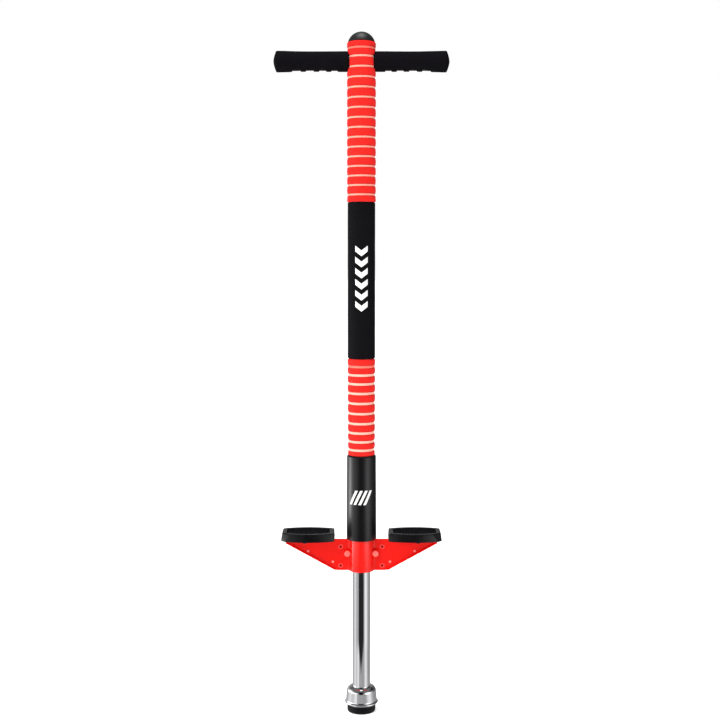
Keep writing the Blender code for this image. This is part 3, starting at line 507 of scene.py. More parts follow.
def ringed_sleeve(name, ends, grooves, width, floors):
    """A red sleeve between two (height, radius) ends, the floors of its grooves in a pale look.

    The first groove is shallow and its floor is faint. A band of darker red along each groove's edges is
    painted shade.
    """
    (bottom, bottom_radius), (top, top_radius) = ends
    profile = ringed_profile(bottom, top, bottom_radius, top_radius, grooves, width)
    skin = FOAM_BORE + 0.0004
    bm = turned(profile, 144, closed=True)
    for face in bm.faces:
        centre = face.calc_center_median()
        outside = hypot(centre.x, centre.y) > skin
        near = min(range(len(grooves)), key=lambda i: abs(grooves[i] - centre.z))
        above = centre.z - grooves[near]
        if outside and abs(above) < width / 2 - 0.0002:
            face.material_index = 2 if near == 0 else 1
        # faces just beside each groove take the darker red: painted shade at the grooves' rims
        elif outside and abs(above) < width / 2 + 0.0010:
            face.material_index = 3
    for vertex in bm.verts:
        squeeze(vertex)
        shift = unevenness(vertex.co, 0.018, 0.00018) + unevenness(vertex.co, 0.006, 0.00006)
        outward = Vector((vertex.co.x, vertex.co.y, 0.0)).normalized()
        if hypot(vertex.co.x, vertex.co.y) > skin:
            vertex.co += outward * shift
    materials = ("red_foam", floors, "faint_foam", "edge_foam")
    obj = piece(name, bm, materials, f"{name}_sleeve", sharp=60)


def grip_face(distance):
    """Half the foam's width where a grip presses on it, by the distance from the grip's axis."""
    return PINCH_HALF_WIDTH + PINCH_FLARE * smoothstep(0.0105, 0.0165, distance)


def squeeze(vertex):
    """Flattens the upper sleeve where each grip butts against it."""
    distance = hypot(vertex.co.y, vertex.co.z - HANDLE_Z)
    if distance > PINCH_REACH or abs(vertex.co.x) < FOAM_BORE * 0.7:
        return
    limit = grip_face(distance) + 0.004 * smoothstep(PINCH_EDGE, PINCH_EDGE + 0.006, distance)
    vertex.co.x = copysign(soft_min(abs(vertex.co.x), limit, 0.0006), vertex.co.x)


def make_foam_sleeves():
    ends = (UPPER_BOTTOM, FOAM_RING_RADIUS), (UPPER_TOP, FOAM_RING_RADIUS)
    ringed_sleeve("upper_foam", ends, UPPER_GROOVES, UPPER_GROOVE_WIDTH, "cream_foam")
    ends = (LOWER_BOTTOM, FOAM_LOW_RADIUS), (LOWER_TOP, FOAM_WAIST_RADIUS + 0.0003)
    ringed_sleeve("lower_foam", ends, LOWER_GROOVES, LOWER_GROOVE_WIDTH, "pale_foam")


def make_centre_foam():
    rows = 60
    points = [(FOAM_WAIST_RADIUS - 0.0012, CENTRE_TOP, 0.0009)]
    for i in range(rows + 1):
        z = CENTRE_TOP - 0.0010 + (CENTRE_BOTTOM - CENTRE_TOP + 0.0020) * i / rows
        points.append((FOAM_WAIST_RADIUS, z))
    points.append((FOAM_WAIST_RADIUS - 0.0012, CENTRE_BOTTOM, 0.0009))
    points += [(FOAM_BORE, CENTRE_BOTTOM), (FOAM_BORE, CENTRE_TOP)]
    bm = turned(filleted(points, 4, closed=True), 128, closed=True)
    for vertex in bm.verts:
        radius = hypot(vertex.co.x, vertex.co.y)
        if radius > FOAM_BORE + 0.0010:
            outward = Vector((vertex.co.x, vertex.co.y, 0.0)) / radius
            vertex.co += outward * unevenness(vertex.co, 0.025, 0.00015)
    obj = piece("centre_foam", bm, ("printed_foam",), "centre_foam_sleeve")


# ---------------------------------------------------------------- grips, cap and barrel
def grip_radius(along):
    """The grip's radius: a slim middle that swells to the outer end."""
    slim = GRIP_RADIUS + 0.00012 * cos((along - 0.0169) / 0.05 * pi)
    return slim + GRIP_SWELL * smoothstep(GRIP_SWELL_START, GRIP_SWELL_END, along)


def finger_depth(along):
    """How deep the finger grooves are at a distance along the handlebar."""
    edge = 0.0006
    return GRIP_FINGER_DEPTH * max(
        1 - smoothstep(width / 2 - edge, width / 2 + edge, abs(along - centre))
        for centre, width in GRIP_FINGER_GROOVES
    )


def make_grip(side, sign):
    """A moulded foam grip: rounded inner end, finger grooves underneath, shallow domed outer end."""
    dome_start = GRIP_OUTER_END - GRIP_DOME
    outer_radius = grip_radius(dome_start)
    profile = [(0.0, GRIP_OUTER_END)]
    for i in range(1, 13):
        share = i / 12
        profile.append((outer_radius * 0.94 * share, GRIP_OUTER_END - GRIP_DOME * 0.80 * share**1.6))
    corner = (outer_radius, dome_start, 0.00105)
    profile += filleted([profile[-1], corner, (outer_radius, dome_start - 0.003)])[1:-1]
    inner_z = PINCH_HALF_WIDTH + PINCH_FLARE + 0.0004
    steps = 240
    start = dome_start - 0.0012
    for i in range(steps + 1):
        along = start + (inner_z - start) * i / steps
        profile.append((grip_radius(along), along))
    for i in range(1, 9):
        radius = GRIP_INNER_RADIUS - (GRIP_INNER_RADIUS - GRIP_BORE) * i / 8
        profile.append((radius, grip_face(radius) + 0.00015))
    bore_end = GRIP_OUTER_END - 0.0048
    profile += [(GRIP_BORE, bore_end), (0.0, bore_end)]
    bm = turned(profile, 112, matrix=Matrix.Rotation(sign * pi / 2, 4, "Y"))
    for vertex in bm.verts:
        along, drop = abs(vertex.co.x), -vertex.co.z
        if hypot(vertex.co.y, vertex.co.z) < GRIP_BORE + 0.0004:
            continue
        depth = finger_depth(along)
        limit = grip_radius(along) - depth
        if depth > 0 and drop > 0:
            vertex.co.z = -soft_min(drop, limit, 0.0006)
        outward = Vector((0.0, vertex.co.y, vertex.co.z)).normalized()
        vertex.co += outward * unevenness(vertex.co, 0.016, 0.00012)
    bm.transform(Matrix.Translation((0, 0, HANDLE_Z)))
    node = f"grip_{side}"
    obj = piece(f"foam_{node}", bm, ("grip_foam",), node, sharp=50)


def make_cap():
    """The domed cap: a part sphere with a rounded rim, on a plug that goes into the tube."""
    rim_z = UPPER_TOP + 0.0003
    centre_z = HEIGHT - CAP_SPHERE_RADIUS
    rim_angle = acos((rim_z + 0.0006 - centre_z) / CAP_SPHERE_RADIUS)
    steps = 40
    dome = []
    for i in range(steps + 1):
        t = rim_angle * i / steps
        dome.append((CAP_SPHERE_RADIUS * sin(t), centre_z + CAP_SPHERE_RADIUS * cos(t)))
    edge = dome[-1][0]
    plug_bottom = span("top_cap", 2)[0]
    lower = filleted([
        dome[-1], (edge + 0.0001, rim_z, 0.0005), (CAP_PLUG_RADIUS, rim_z),
        (CAP_PLUG_RADIUS, plug_bottom, 0.001), (0.0, plug_bottom),
    ])
    piece("cap", turned(dome[:-1] + lower), ("cap_plastic",), "top_cap")


def make_barrel():
    profile = filleted([
        (BARREL_TOP_RADIUS - 0.0010, BARREL_TOP, 0.0008), (BARREL_TOP_RADIUS, BARREL_TOP - 0.0010, 0.0008),
        (BARREL_BOTTOM_RADIUS, BARREL_BOTTOM + 0.0007, 0.0006),
        (BARREL_BOTTOM_RADIUS - 0.0007, BARREL_BOTTOM, 0.0005),
        (FOAM_BORE, BARREL_BOTTOM), (FOAM_BORE, BARREL_TOP),
    ], closed=True)
    bm = turned(profile, 144, closed=True)
    piece("barrel", bm, ("barrel_plastic",), "barrel_sleeve")


# ---------------------------------------------------------------- foot bracket
def bracket_stations():
    """Points of the front plate's front face seen from above, from the left tip to the right."""
    front = -PLATE_GAP / 2 - SHEET
    bend_y = front - COLLAR_FILLET
    bend_x = sqrt((COLLAR_RADIUS + COLLAR_FILLET) ** 2 - bend_y**2)
    lean = atan2(-bend_y, bend_x)
    arc = []
    for i in range(13):
        t = pi / 2 + (pi / 2 - lean) * i / 12
        arc.append((bend_x + COLLAR_FILLET * cos(t), bend_y + COLLAR_FILLET * sin(t)))
    for i in range(1, 49):
        t = -lean - (pi / 2 - lean) * i / 48
        arc.append((COLLAR_RADIUS * cos(t), COLLAR_RADIUS * sin(t)))
    coarse, fine_end = 56, 0.0340
    wing = [(BRACKET_TIP_X + (fine_end - BRACKET_TIP_X) * i / coarse, front) for i in range(coarse)]
    fine = 30
    wing += [(fine_end + (bend_x - fine_end) * i / fine, front) for i in range(fine)]
    right = wing + arc
    left = [(-x, y) for x, y in right[:-1]]
    return left + list(reversed(right))


def bracket_bottom(x):
    run = (abs(x) - BRACKET_FLAT_X) / (BRACKET_TIP_X - BRACKET_FLAT_X)
    return BRACKET_BOTTOM + max(run, 0.0) * (BRACKET_TIP_Z - BRACKET_BOTTOM)


def flange_depth(x):
    """How far forward the top flange reaches at x, from the plate's own front face."""
    x = abs(x)
    corner = max(x - (BRACKET_TIP_X - FLANGE_TIP_CORNER), 0.0)
    grown = smoothstep(FLANGE_INNER_X - 0.0005, FLANGE_INNER_X + 0.0060, x)
    return (FLANGE_DEPTH - corner - SHEET_BEND) * grown


def lip_depth(x):
    grown = smoothstep(BRACKET_FLAT_X - 0.0002, BRACKET_FLAT_X + 0.0022, abs(x))
    return (LIP_DEPTH - SHEET_BEND) * grown


def folded(run, radius):
    """A strip that turns forward: (forward, up) of a point run metres from the fold's start."""
    quarter = radius * pi / 2
    if run < quarter:
        angle = run / radius
        return radius * (1 - cos(angle)), radius * sin(angle)
    return radius + (run - quarter), radius


def boss_height(x, z):
    """How far in front of y = 0 the conical boss under each bolt stands."""
    distance = hypot(abs(x) - BOLT_X, z - BOLT_Z)
    rise = 1 - smoothstep(BOSS_TOP_RADIUS, BOSS_BASE_RADIUS, distance)
    return BOSS_FACE_Y * rise


def bracket_point(x, y, share, part):
    """A point of the plate's front face. part is the lip, the wing or the top flange."""
    bend = SHEET_BEND
    low = bracket_bottom(x) + SHEET + bend
    high = BRACKET_TOP - SHEET - bend
    if part == "wing":
        z = low + (high - low) * share
        return (x, min(y, -boss_height(x, z)), z)
    depth, edge, way = (lip_depth(x), low, -1) if part == "lip" else (flange_depth(x), high, 1)
    straight = bend + SHEET
    folds = smoothstep(0.0, bend, depth)
    run = share * max(depth + bend * (pi / 2 - 1), 1e-6)
    forward, up = folded(run, bend)
    z = edge + way * (up * folds + straight * share * (1 - folds))
    return (x, min(y - forward * folds, -boss_height(x, z)), z)


def make_bracket_plate(name, node, turn):
    stations = bracket_stations()
    lip_rows, wing_rows, flange_rows = 8, 56, 14
    bm = bmesh.new()
    columns = []
    for x, y in stations:
        column = [bracket_point(x, y, 1 - i / lip_rows, "lip") for i in range(lip_rows)]
        column += [bracket_point(x, y, i / wing_rows, "wing") for i in range(wing_rows)]
        column += [bracket_point(x, y, i / flange_rows, "flange") for i in range(flange_rows + 1)]
        columns.append([bm.verts.new(point) for point in column])
    for first, second in zip(columns, columns[1:]):
        for i in range(len(first) - 1):
            bm.faces.new((first[i], second[i], second[i + 1], first[i + 1]))
    bm.transform(turn)
    obj = piece(name, bm, ("red_paint",), node, sharp=50)
    mesh = obj.data
    outward = sum((p.normal.dot(turn.to_3x3() @ Vector((0, -1, 0))) * p.area for p in mesh.polygons))
    solid = obj.modifiers.new("sheet", "SOLIDIFY")
    solid.thickness = SHEET
    solid.offset = -1.0 if outward > 0 else 1.0
    solid.use_even_offset = True
    edge = obj.modifiers.new("edge", "BEVEL")
    edge.width = 0.00025
    edge.segments = 2
    edge.limit_method = "ANGLE"
    edge.angle_limit = radians(60)
    return obj


def make_bracket():
    make_bracket_plate("front_plate", "bracket_front", Matrix.Identity(4))
    make_bracket_plate("rear_plate", "bracket_rear", Matrix.Rotation(pi, 4, "Z"))


def make_bolts():
    """Domed bolts through the bosses, with their nuts behind."""
    seat = BOSS_FACE_Y + PLATE_GAP
    dome = [(0.0, BOLT_RIM + BOLT_DOME)]
    for i in range(1, 13):
        t = radians(90 * i / 12)
        dome.append((BOLT_HEAD_RADIUS * sin(t), BOLT_RIM + BOLT_DOME * cos(t)))
    tip = -(2 * BOSS_FACE_Y + 0.0050)
    shank = filleted([
        (BOLT_HEAD_RADIUS, BOLT_RIM), (BOLT_HEAD_RADIUS, 0.0, 0.0003), (BOLT_SHANK_RADIUS, 0.0),
        (BOLT_SHANK_RADIUS, tip + 0.0006, 0.0003), (BOLT_SHANK_RADIUS - 0.0006, tip, 0.0003), (0.0, tip),
    ])
    bore = [(NUT_BORE + 0.0006, NUT_HALF_HEIGHT), (NUT_BORE, NUT_HALF_HEIGHT - 0.0004)]
    outer = [(NUT_RADIUS, -NUT_HALF_HEIGHT), (NUT_RADIUS, NUT_HALF_HEIGHT)]
    for side, sign in SIDES:
        place = facing(sign * BOLT_X, -seat, BOLT_Z)
        bm = turned(dome[:-1] + shank, 48, matrix=place)
        # the domed heads take the pale pink paint, a painted highlight
        piece(f"bolt_{side}", bm, ("bolt_paint",), f"bracket_bolt_{side}")
        place = facing(sign * BOLT_X, seat + NUT_HALF_HEIGHT, BOLT_Z)
        nut = turned(bore + mirrored(bore) + outer, 48, closed=True)
        for vertex in nut.verts:
            radius = hypot(vertex.co.x, vertex.co.y)
            if radius > NUT_RADIUS - 0.0001:
                angle = atan2(vertex.co.y, vertex.co.x) % (pi / 3) - pi / 6
                side_radius = min(NUT_FLAT / cos(angle), NUT_RADIUS - 0.0001)
                vertex.co.xy = vertex.co.xy * side_radius / radius
        nut.transform(place)
        piece(f"nut_{side}", nut, ("red_paint",), f"bracket_nut_{side}", sharp=25)


def make_rivets():
    """Tubular rivets whose sunken middle is painted dark as the shade of a hole, and small solid ones along
    the slanted edges.
    """
    face = PLATE_GAP / 2 + SHEET + PLATE_GAP
    head = [
        (0.0017, face - 0.0002), (0.0017, face + 0.0006, 0.0003), (0.0025, face + 0.0009, 0.0006),
        (0.0035, face + 0.0003, 0.0005), (0.0035, face), (0.0022, face),
    ]
    floor = (0.0, face - 0.0002)
    tubular = [floor, *filleted(head + mirrored(head)), *mirrored([floor])]
    button = [
        (0.0, face + 0.0009), (0.0011, face + 0.0008, 0.0005), (0.0018, face + 0.0002, 0.0004),
        (0.0018, face), (0.0011, face),
    ]
    small = filleted(button + mirrored(button))
    for side, sign in SIDES:
        for level, z in zip(("lower", "upper"), EYELET_HEIGHTS):
            place = facing(sign * EYELET_X, 0, z)
            bm = turned(tubular, 40, matrix=place)
            # the faces of the sunken middle take the dark red, painted shade for the hole
            for polygon in bm.faces:
                centre = polygon.calc_center_median()
                if hypot(centre.x - sign * EYELET_X, centre.z - z) < 0.00175:
                    polygon.material_index = 1
            name, materials = f"{side}_{level}", ("rivet_red", "rivet_core")
            piece(f"tube_rivet_{name}", bm, materials, f"eyelet_{name}")
        for end, (x, z) in zip(("outer", "inner"), SMALL_RIVETS):
            place = facing(sign * x, 0, z)
            bm = turned(small, 32, matrix=place)
            node = f"rivet_{side}_{end}"
            # the small rivets' pale pink is a painted highlight
            piece(f"solid_{node}", bm, ("pale_rivet",), node)


# ---------------------------------------------------------------- foot pads
def pad_edge(inset, corner, softness):
    """One long edge, bowed out, then the chamfer of its outer corner. Depths count outwards."""
    inner, outer = PAD_INNER_X + inset, PAD_OUTER_X - inset
    middle = PAD_HALF_DEPTH - inset
    end = PAD_HALF_DEPTH * PAD_END_SHARE - inset
    half, centre = (outer - inner) / 2, (inner + outer) / 2
    shrink = max(1 - inset / 0.012, 0.2)
    run, rise = (size * shrink for size in corner)
    steps = 24
    edge = []
    for i in range(steps + 1):
        x = inner + (outer - run - inner) * i / steps
        edge.append((x, end + (middle - end) * (1 - ((x - centre) / half) ** 2)))
    edge[0] = (*edge[0], 0.0030 * shrink)
    edge[-1] = (*edge[-1], softness * shrink)
    edge.append((outer, end - rise, softness * shrink))
    return edge


def pad_outline(inset, share):
    """The pad seen from above at a share of its height: the front corner's chamfer leans back."""
    shift = -0.0004 * share
    corner = [low + (top - low) * share for low, top in zip(PAD_FRONT_CORNER_LOW, PAD_FRONT_CORNER_TOP)]
    if inset > PAD_RIM:
        corner = PAD_REAR_CORNER
    front = [(x, -y, *rest) for x, y, *rest in pad_edge(inset, corner, 0.0016)]
    rear = pad_edge(inset, PAD_REAR_CORNER, 0.0010)
    return [(x + shift, y) for x, y in filleted(front + rear[::-1], 5, closed=True)]


def make_pad(side, sign):
    """A moulded pad: drafted sides, a smooth raised rim, and studs on the sunken tread."""
    thick = PAD_TOP - PAD_BOTTOM
    floor = thick - PAD_RECESS
    section = filleted([
        (0.0040, 0.0), (0.0, 0.0, 0.0006), (PAD_DRAFT, thick, 0.0011), (PAD_DRAFT + PAD_RIM, thick, 0.0006),
        (PAD_DRAFT + PAD_RIM + 0.0006, floor, 0.0003), (PAD_DRAFT + PAD_RIM + 0.0030, floor),
    ])
    bm = bmesh.new()
    loops = []
    for inset, height in section:
        outline = pad_outline(inset, height / thick)
        loops.append([bm.verts.new((sign * x, y, PAD_BOTTOM + height)) for x, y in outline])
    for lower, upper in zip(loops, loops[1:]):
        strip(bm, lower, upper, closed=True)
    for loop in (loops[0], loops[-1]):
        bm.faces.new(loop).material_index = 1
    lowest, highest = PAD_BOTTOM + floor - 0.0001, PAD_BOTTOM + thick - 0.0005
    for polygon in bm.faces:
        if all(lowest < vertex.co.z < highest for vertex in polygon.verts):
            centre = polygon.calc_center_median()
            along = PAD_INNER_X + PAD_RIM < abs(centre.x) < PAD_OUTER_X - PAD_RIM
            if along and abs(centre.y) < PAD_HALF_DEPTH - PAD_RIM:
                polygon.material_index = 1
    add_studs(bm, sign, PAD_BOTTOM + floor)
    materials = ("pad_rubber", "tread_rubber")
    piece(f"pad_{side}", bm, materials, f"foot_pad_{side}", sharp=30)


def add_studs(bm, sign, floor):
    """Rows of low oblong studs, joined to the tread's floor."""
    inner, outer = PAD_INNER_X + 0.0125, PAD_OUTER_X - 0.0135
    corners = [(a * STUD_HALF_X, b * STUD_HALF_Y) for a, b in ((-1, -1), (1, -1), (1, 1), (-1, 1))]
    for c in range(STUD_COLUMNS):
        for r in range(STUD_ROWS):
            x = inner + (outer - inner) * c / (STUD_COLUMNS - 1)
            y = (r - (STUD_ROWS - 1) / 2) * STUD_ROW_PITCH
            base = [bm.verts.new((sign * (x + a), y + b, floor - 0.0002)) for a, b in corners]
            top = [
                bm.verts.new((sign * (x + a * 0.72), y + b * 0.78, floor + STUD_RISE)) for a, b in corners
            ]
            faces = [bm.faces.new(top), bm.faces.new(list(reversed(base)))]
            for polygon in faces + strip(bm, base, top, closed=True):
                polygon.material_index = 1


def make_pad_screws():
    seat = BRACKET_TOP - SHEET - PLATE_GAP
    top = span("pad_screw_left_front", 2)[1] - seat
    profile = filleted([
        (0.0, top), (0.0007, top), (0.0014, top - 0.0015, 0.0004), (0.0014, 0.0), (0.0027, 0.0),
        (0.0027, -0.0022, 0.0004), (0.0016, -0.0032, 0.0004), (0.0, -0.0032),
    ])
    for side, sign in SIDES:
        for end, y in (("front", -PAD_SCREW_Y), ("rear", PAD_SCREW_Y)):
            bm = turned(profile, 32, matrix=Matrix.Translation((sign * PAD_SCREW_X, y, seat)))
            node = f"pad_screw_{side}_{end}"
            piece(f"screw_{side}_{end}", bm, ("black_fittings",), node)


# ---------------------------------------------------------------- plunger and spring
def make_piston():
    profile = filleted([
        (PISTON_RADIUS, PISTON_TOP, 0.0003), (PISTON_RADIUS, PISTON_TOP - 0.0010),
        (PISTON_RADIUS, PISTON_BOTTOM), (PISTON_BORE, PISTON_BOTTOM), (PISTON_BORE, PISTON_TOP),
    ], closed=True)
    bm = turned(profile, 160, closed=True)
    piece("chrome_tube", bm, ("chrome",), "piston_tube", body=PLUNGER)


def make_ferrule():
    """The chromed cup on the foot: round shoulder, flaring wall, rolled bead and tucked-in hem."""
    shoulder_inner, shoulder_rise = PISTON_RADIUS + 0.0006, 0.0076
    wall_top = FERRULE_TOP - shoulder_rise
    profile = []
    for i in range(17):
        t = radians(90 * i / 16)
        radius = shoulder_inner + (FERRULE_TOP_RADIUS - shoulder_inner) * sin(t)
        profile.append((radius, wall_top + shoulder_rise * cos(t)))
    bead_z = FERRULE_BOTTOM + 0.0024
    profile += filleted([
        profile[-1], (FERRULE_SKIRT_RADIUS, bead_z + 0.0022, 0.0012),
        (FERRULE_BEAD_RADIUS, bead_z + 0.0006, 0.0007),
        (FERRULE_BEAD_RADIUS - 0.0001, bead_z - 0.0006, 0.0007),
        (FERRULE_SKIRT_RADIUS - 0.0008, bead_z - 0.0018, 0.0008),
        (FOOT_RADIUS + 0.0009, FERRULE_BOTTOM, 0.0005), (FOOT_RADIUS + 0.0003, FERRULE_BOTTOM),
    ])[1:]
    seat = span("piston_tube", 2)[0]
    bore = PISTON_RADIUS + 0.0003
    profile += [(FOOT_RADIUS + 0.0003, seat), (bore, seat), (bore, FERRULE_TOP)]
    bm = turned(profile, 160, closed=True)
    piece("ferrule", bm, ("chrome",), "foot_ferrule", body=PLUNGER)


def make_rubber_foot():
    """The rubber foot, with rings moulded into its side and sole."""
    top = span("rubber_foot", 2)[1]
    seat = span("piston_tube", 2)[0] - 0.0003
    stem = PISTON_BORE - 0.0003
    points = [
        (0.0, top), (stem, top, 0.001), (stem, seat), (FOOT_RADIUS, seat), (FOOT_RADIUS, 0.0078),
        (FOOT_RADIUS - 0.0003, 0.0075, 0.0002), (FOOT_RADIUS - 0.0003, 0.0070, 0.0002), (FOOT_RADIUS, 0.0067),
        (FOOT_RADIUS - 0.0001, 0.0, 0.0026),
    ]
    for radius in (0.0150, 0.0110, 0.0070):
        points += [(radius + 0.0008, 0.0, 0.0003), (radius + 0.0005, 0.0012)]
        points += [(radius - 0.0005, 0.0012), (radius - 0.0008, 0.0, 0.0003)]
    points.append((0.0, 0.0))
    bm = turned(filleted(points), 128)
    piece("rubber_tip", bm, ("black_rubber",), "rubber_foot", body=PLUNGER)


def make_spring():
    """The coil, wound from its lower seat to its upper one, with a closer end turn at each."""
    low, high = SPRING_BOTTOM + SPRING_WIRE, SPRING_TOP - SPRING_WIRE
    mean = SPRING_RADIUS - SPRING_WIRE
    end_rise = 2.15 * SPRING_WIRE
    pitch = (high - low - 2 * end_rise) / (SPRING_TURNS - 2)
    per_turn, sides = 24, 10
    bm = bmesh.new()
    rings = []
    for i in range(SPRING_TURNS * per_turn + 1):
        turn = i / per_turn
        active = min(max(turn - 1, 0), SPRING_TURNS - 2)
        z = low + end_rise * (turn - active) + pitch * active
        angle = 2 * pi * turn
        ring = []
        for k in range(sides):
            t = 2 * pi * k / sides
            radius, height = mean + SPRING_WIRE * cos(t), z + SPRING_WIRE * sin(t)
            ring.append(bm.verts.new((radius * cos(angle), radius * sin(angle), height)))
        rings.append(ring)
    for first, second in zip(rings, rings[1:]):
        strip(bm, first, second, closed=True)
    bm.faces.new(rings[0])
    bm.faces.new(rings[-1])
    obj = piece("coil_spring", bm, ("spring_steel",), "spring", sharp=60)
    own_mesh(obj)


# ---------------------------------------------------------------- CAD nodes that stay
def dress_cad_nodes():
    """Gives every CAD node that is still shown the finish of its record slot."""
    slots = {part["node"]: part["material_slot"] for part in frame["record"]["subparts"]}
    for node, obj in frame["nodes"].items():
        if obj.hide_render:
            continue
        if not obj.material_slots:
            obj.data.materials.append(looks[slots[node]])
        for place in obj.material_slots:
            place.link = "OBJECT"
            place.material = looks[slots[node]]


# ---------------------------------------------------------------- camera, floor and light
CAMERA_PLACE, CAMERA_LENS, CAMERA_DOWN = (-0.0020, -1.6577, 0.6377), 59.65, 4.7


def make_camera():
    data = bpy.data.cameras.new("camera")
    data.sensor_width = 36.0
    data.lens = CAMERA_LENS
    data.dof.use_dof = False
    data.clip_start, data.clip_end = 0.05, 60.0
    camera = linked("camera", data)
    camera.location = CAMERA_PLACE
    camera.rotation_euler = (radians(90 - CAMERA_DOWN), 0.0, 0.0)
    bpy.context.scene.camera = camera


def make_floor():
    bm = bmesh.new()
    bmesh.ops.create_circle(bm, cap_ends=True, radius=40.0, segments=96)
    white = (0.93, 0.93, 0.93)
    look = Look("floor", Base_Color=white, Roughness=0.9, Specular_IOR_Level=0.1)
    look.plug(look.shader.inputs["Emission Color"], white)
    look.plug(look.shader.inputs["Emission Strength"], 0.55)
    object_of("floor", bm, [look.material])


def ramp(stops, value):
    """The value of a piecewise linear curve given as (place, value) stops."""
    for (x0, y0), (x1, y1) in zip(stops, stops[1:]):
        if value <= x1:
            return y0 + (y1 - y0) * (value - x0) / (x1 - x0)
    return stops[-1][1]


# Brightness of the flats by compass angle, 0 being the side that faces the rider and positive
# to the right: on the floor close to the foot, further out, and upright.
FLOOR_NEAR = (
    (-180, 0.43), (-113, 0.5), (-97, 0.8), (-80, 0.85), (-72, 0.66), (-56, 0.68), (-44, 0.9), (-34, 0.9),
    (-28, 0.42), (24, 0.36), (34, 0.45), (48, 0.85), (66, 0.85), (80, 0.50), (100, 0.32), (180, 0.3),
)
FLOOR_FAR = (
    (-180, 0.43), (-113, 0.45), (-97, 0.8), (-84, 0.85), (-74, 0.6), (-60, 0.5), (-38, 0.38), (-32, 0.02),
    (22, 0.02), (27, 0.12), (40, 0.6), (50, 0.95), (68, 0.95), (80, 0.6), (94, 0.42), (115, 0.28),
    (180, 0.25),
)
WALL = (
    (-180, 0.75), (-150, 0.7), (-118, 1.0), (-108, 3.0), (-96, 3.0), (-86, 1.8), (-70, 1.4), (-35, 0.8),
    (-16, 0.0), (14, 0.0), (28, 1.0), (44, 2.6), (58, 2.6), (74, 0.9), (95, 0.4), (120, 0.1), (150, 0.3),
    (180, 0.75),
)
# A low flat standing close by, which the barrel and the collar look down on.
LOW_FLAT = (
    (-180, 0.2), (-126, 0.6), (-112, 4.0), (-104, 10.0), (-92, 9.0), (-80, 4.0), (-68, 2.3), (-39, 1.4),
    (-16, 0.02), (8, 0.02), (27, 0.8), (43, 3.0), (56, 3.0), (72, 1.1), (89, 0.5), (110, 0.1), (180, 0.1),
)
ANGLES = range(-180, 181, 2)
ROOM_RADIUS, ROOM_HEIGHT, CEILING_REACH = 3.0, 2.9, 3.2
LOW_FLAT_RADIUS, OVERHEAD_HEIGHT = 0.9, 1.28


def glow_material(name):
    """Emits by the mesh's own glow attribute, and reflects nothing."""
    look = Look(name, Base_Color=(0.0, 0.0, 0.0), Roughness=1.0, Specular_IOR_Level=0.0)
    look.plug(look.shader.inputs["Emission Color"], (1.0, 1.0, 1.0))
    glow = look.node("Attribute", attribute_name="glow").outputs["Fac"]
    look.plug(look.shader.inputs["Emission Strength"], glow)
    return look.material


def reflection_only(name, rows, glow):
    """A grid of (x, y, z) rows seen only as a reflection, each point with its brightness."""
    bm = bmesh.new()
    points = [[bm.verts.new(point) for point in row] for row in rows]
    for first, second in zip(points, points[1:]):
        strip(bm, first, second)
    flat = object_of(name, bm, [glow_material(name)])
    attribute = flat.data.attributes.new("glow", "FLOAT", "POINT")
    for item, value in zip(attribute.data, (value for row in glow for value in row)):
        item.value = value
    flat.visible_camera = False
    flat.visible_diffuse = False
    flat.visible_transmission = False
    flat.visible_shadow = False


def round_row(reach, height):
    """Points round the stick, one for each angle, at a radius or at one radius for each."""
    reaches = reach if isinstance(reach, list) else [reach] * len(ANGLES)
    turns = [radians(angle) for angle in ANGLES]
    return [(radius * sin(t), -radius * cos(t), height) for radius, t in zip(reaches, turns)]


def round_glow(table, share=1.0):
    return [share * ramp(table, angle) for angle in ANGLES]


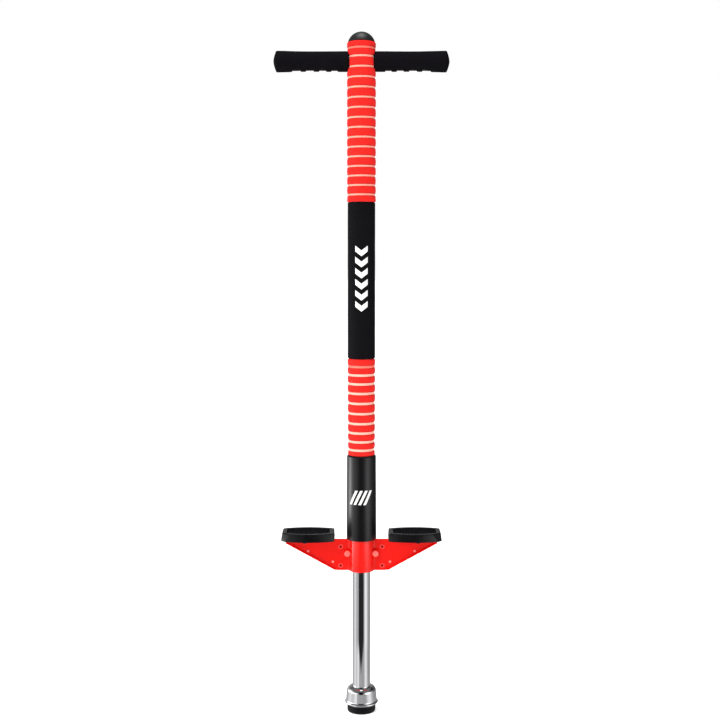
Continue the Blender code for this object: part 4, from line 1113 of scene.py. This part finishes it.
def make_reflectors():
    """Studio flats round the stick, lying on the floor and standing up, seen only as reflections."""
    height = 0.002
    edge = [0.15 + 0.11 * min(abs(angle + 5) / 28, 1.0) ** 1.5 for angle in ANGLES]
    reaches = (0.02, edge, [reach + 0.07 for reach in edge], ROOM_RADIUS)
    glow = [round_glow(table) for table in (FLOOR_NEAR, FLOOR_NEAR, FLOOR_FAR, FLOOR_FAR)]
    reflection_only("flat_floor", [round_row(reach, height) for reach in reaches], glow)
    shares = (0.002, 0.4), (0.3, 1.0), (0.8, 0.7), (1.4, 0.25), (ROOM_HEIGHT, 0.1)
    rows = [round_row(ROOM_RADIUS, height) for height, _ in shares]
    reflection_only("flat_wall", rows, [round_glow(WALL, share) for _, share in shares])
    rows = [round_row(LOW_FLAT_RADIUS, height) for height in (0.004, 0.3)]
    reflection_only("flat_low", rows, [round_glow(LOW_FLAT)] * 2)
    across = (-CEILING_REACH, 0.0, CEILING_REACH)
    rows = [[(x, y, ROOM_HEIGHT) for x in across] for y in across]
    reflection_only("flat_ceiling", rows, [[0.15] * 3] * 3)
    rows = [[(x, y, OVERHEAD_HEIGHT) for x in (-0.16, -0.05, 0.05, 0.14)] for y in (-0.20, -0.10, 0.0, 0.12)]
    glow = [[0.4, 2.4, 2.4, 0.3], [1.0, 4.2, 4.2, 0.7], [1.0, 4.2, 4.2, 0.7], [0.3, 1.5, 1.5, 0.2]]
    reflection_only("flat_overhead", rows, glow)


def area_light(name, place, target, size, power):
    """A soft lamp that lights the surfaces; the flats are what shines in them."""
    data = bpy.data.lights.new(name, "AREA")
    data.shape = "RECTANGLE"
    data.size, data.size_y = size
    data.energy = power
    light = linked(name, data)
    light.location = place
    light.rotation_euler = (Vector(target) - Vector(place)).to_track_quat("-Z", "Y").to_euler()
    light.visible_glossy = False


def make_world():
    """White to the eye, but lighting the stick more from the upper left than from the right."""
    world = bpy.data.worlds.new("studio")
    bpy.context.scene.world = world
    world.use_nodes = True
    nodes = Nodes(world.node_tree)
    way = nodes.node("TexCoord").outputs["Generated"]
    inputs = {0: way, 1: (-0.60, -0.55, 0.58)}
    lean = nodes.node("VectorMath", inputs, operation="DOT_PRODUCT").outputs["Value"]
    seen = nodes.node("LightPath").outputs["Is Camera Ray"]
    strength = nodes.math("MAXIMUM", seen, nodes.remap(lean, -1.0, 1.0, 0.08, 1.08))
    background = nodes.tree.nodes["Background"]
    nodes.plug(background.inputs["Color"], (1.0, 1.0, 1.0))
    nodes.plug(background.inputs["Strength"], strength)


def make_lights():
    middle = (0.0, 0.0, 0.5)
    area_light("key", (-1.7, -1.6, 1.9), middle, (1.0, 1.6), 38.0)
    area_light("fill", (1.6, -1.6, 1.2), middle, (0.8, 1.6), 3.0)
    area_light("top", (-0.2, -0.3, 2.6), middle, (1.2, 0.9), 26.0)
    bpy.context.scene.view_settings.view_transform = "Standard"


make_camera()
make_floor()
make_reflectors()
make_world()
make_lights()

make_foam_sleeves()
make_centre_foam()
for side, sign in SIDES:
    make_grip(side, sign)
    make_pad(side, sign)
make_cap()
make_barrel()
make_bracket()
make_bolts()
make_rivets()
make_pad_screws()
make_piston()
make_ferrule()
make_rubber_foot()
make_spring()
dress_cad_nodes()
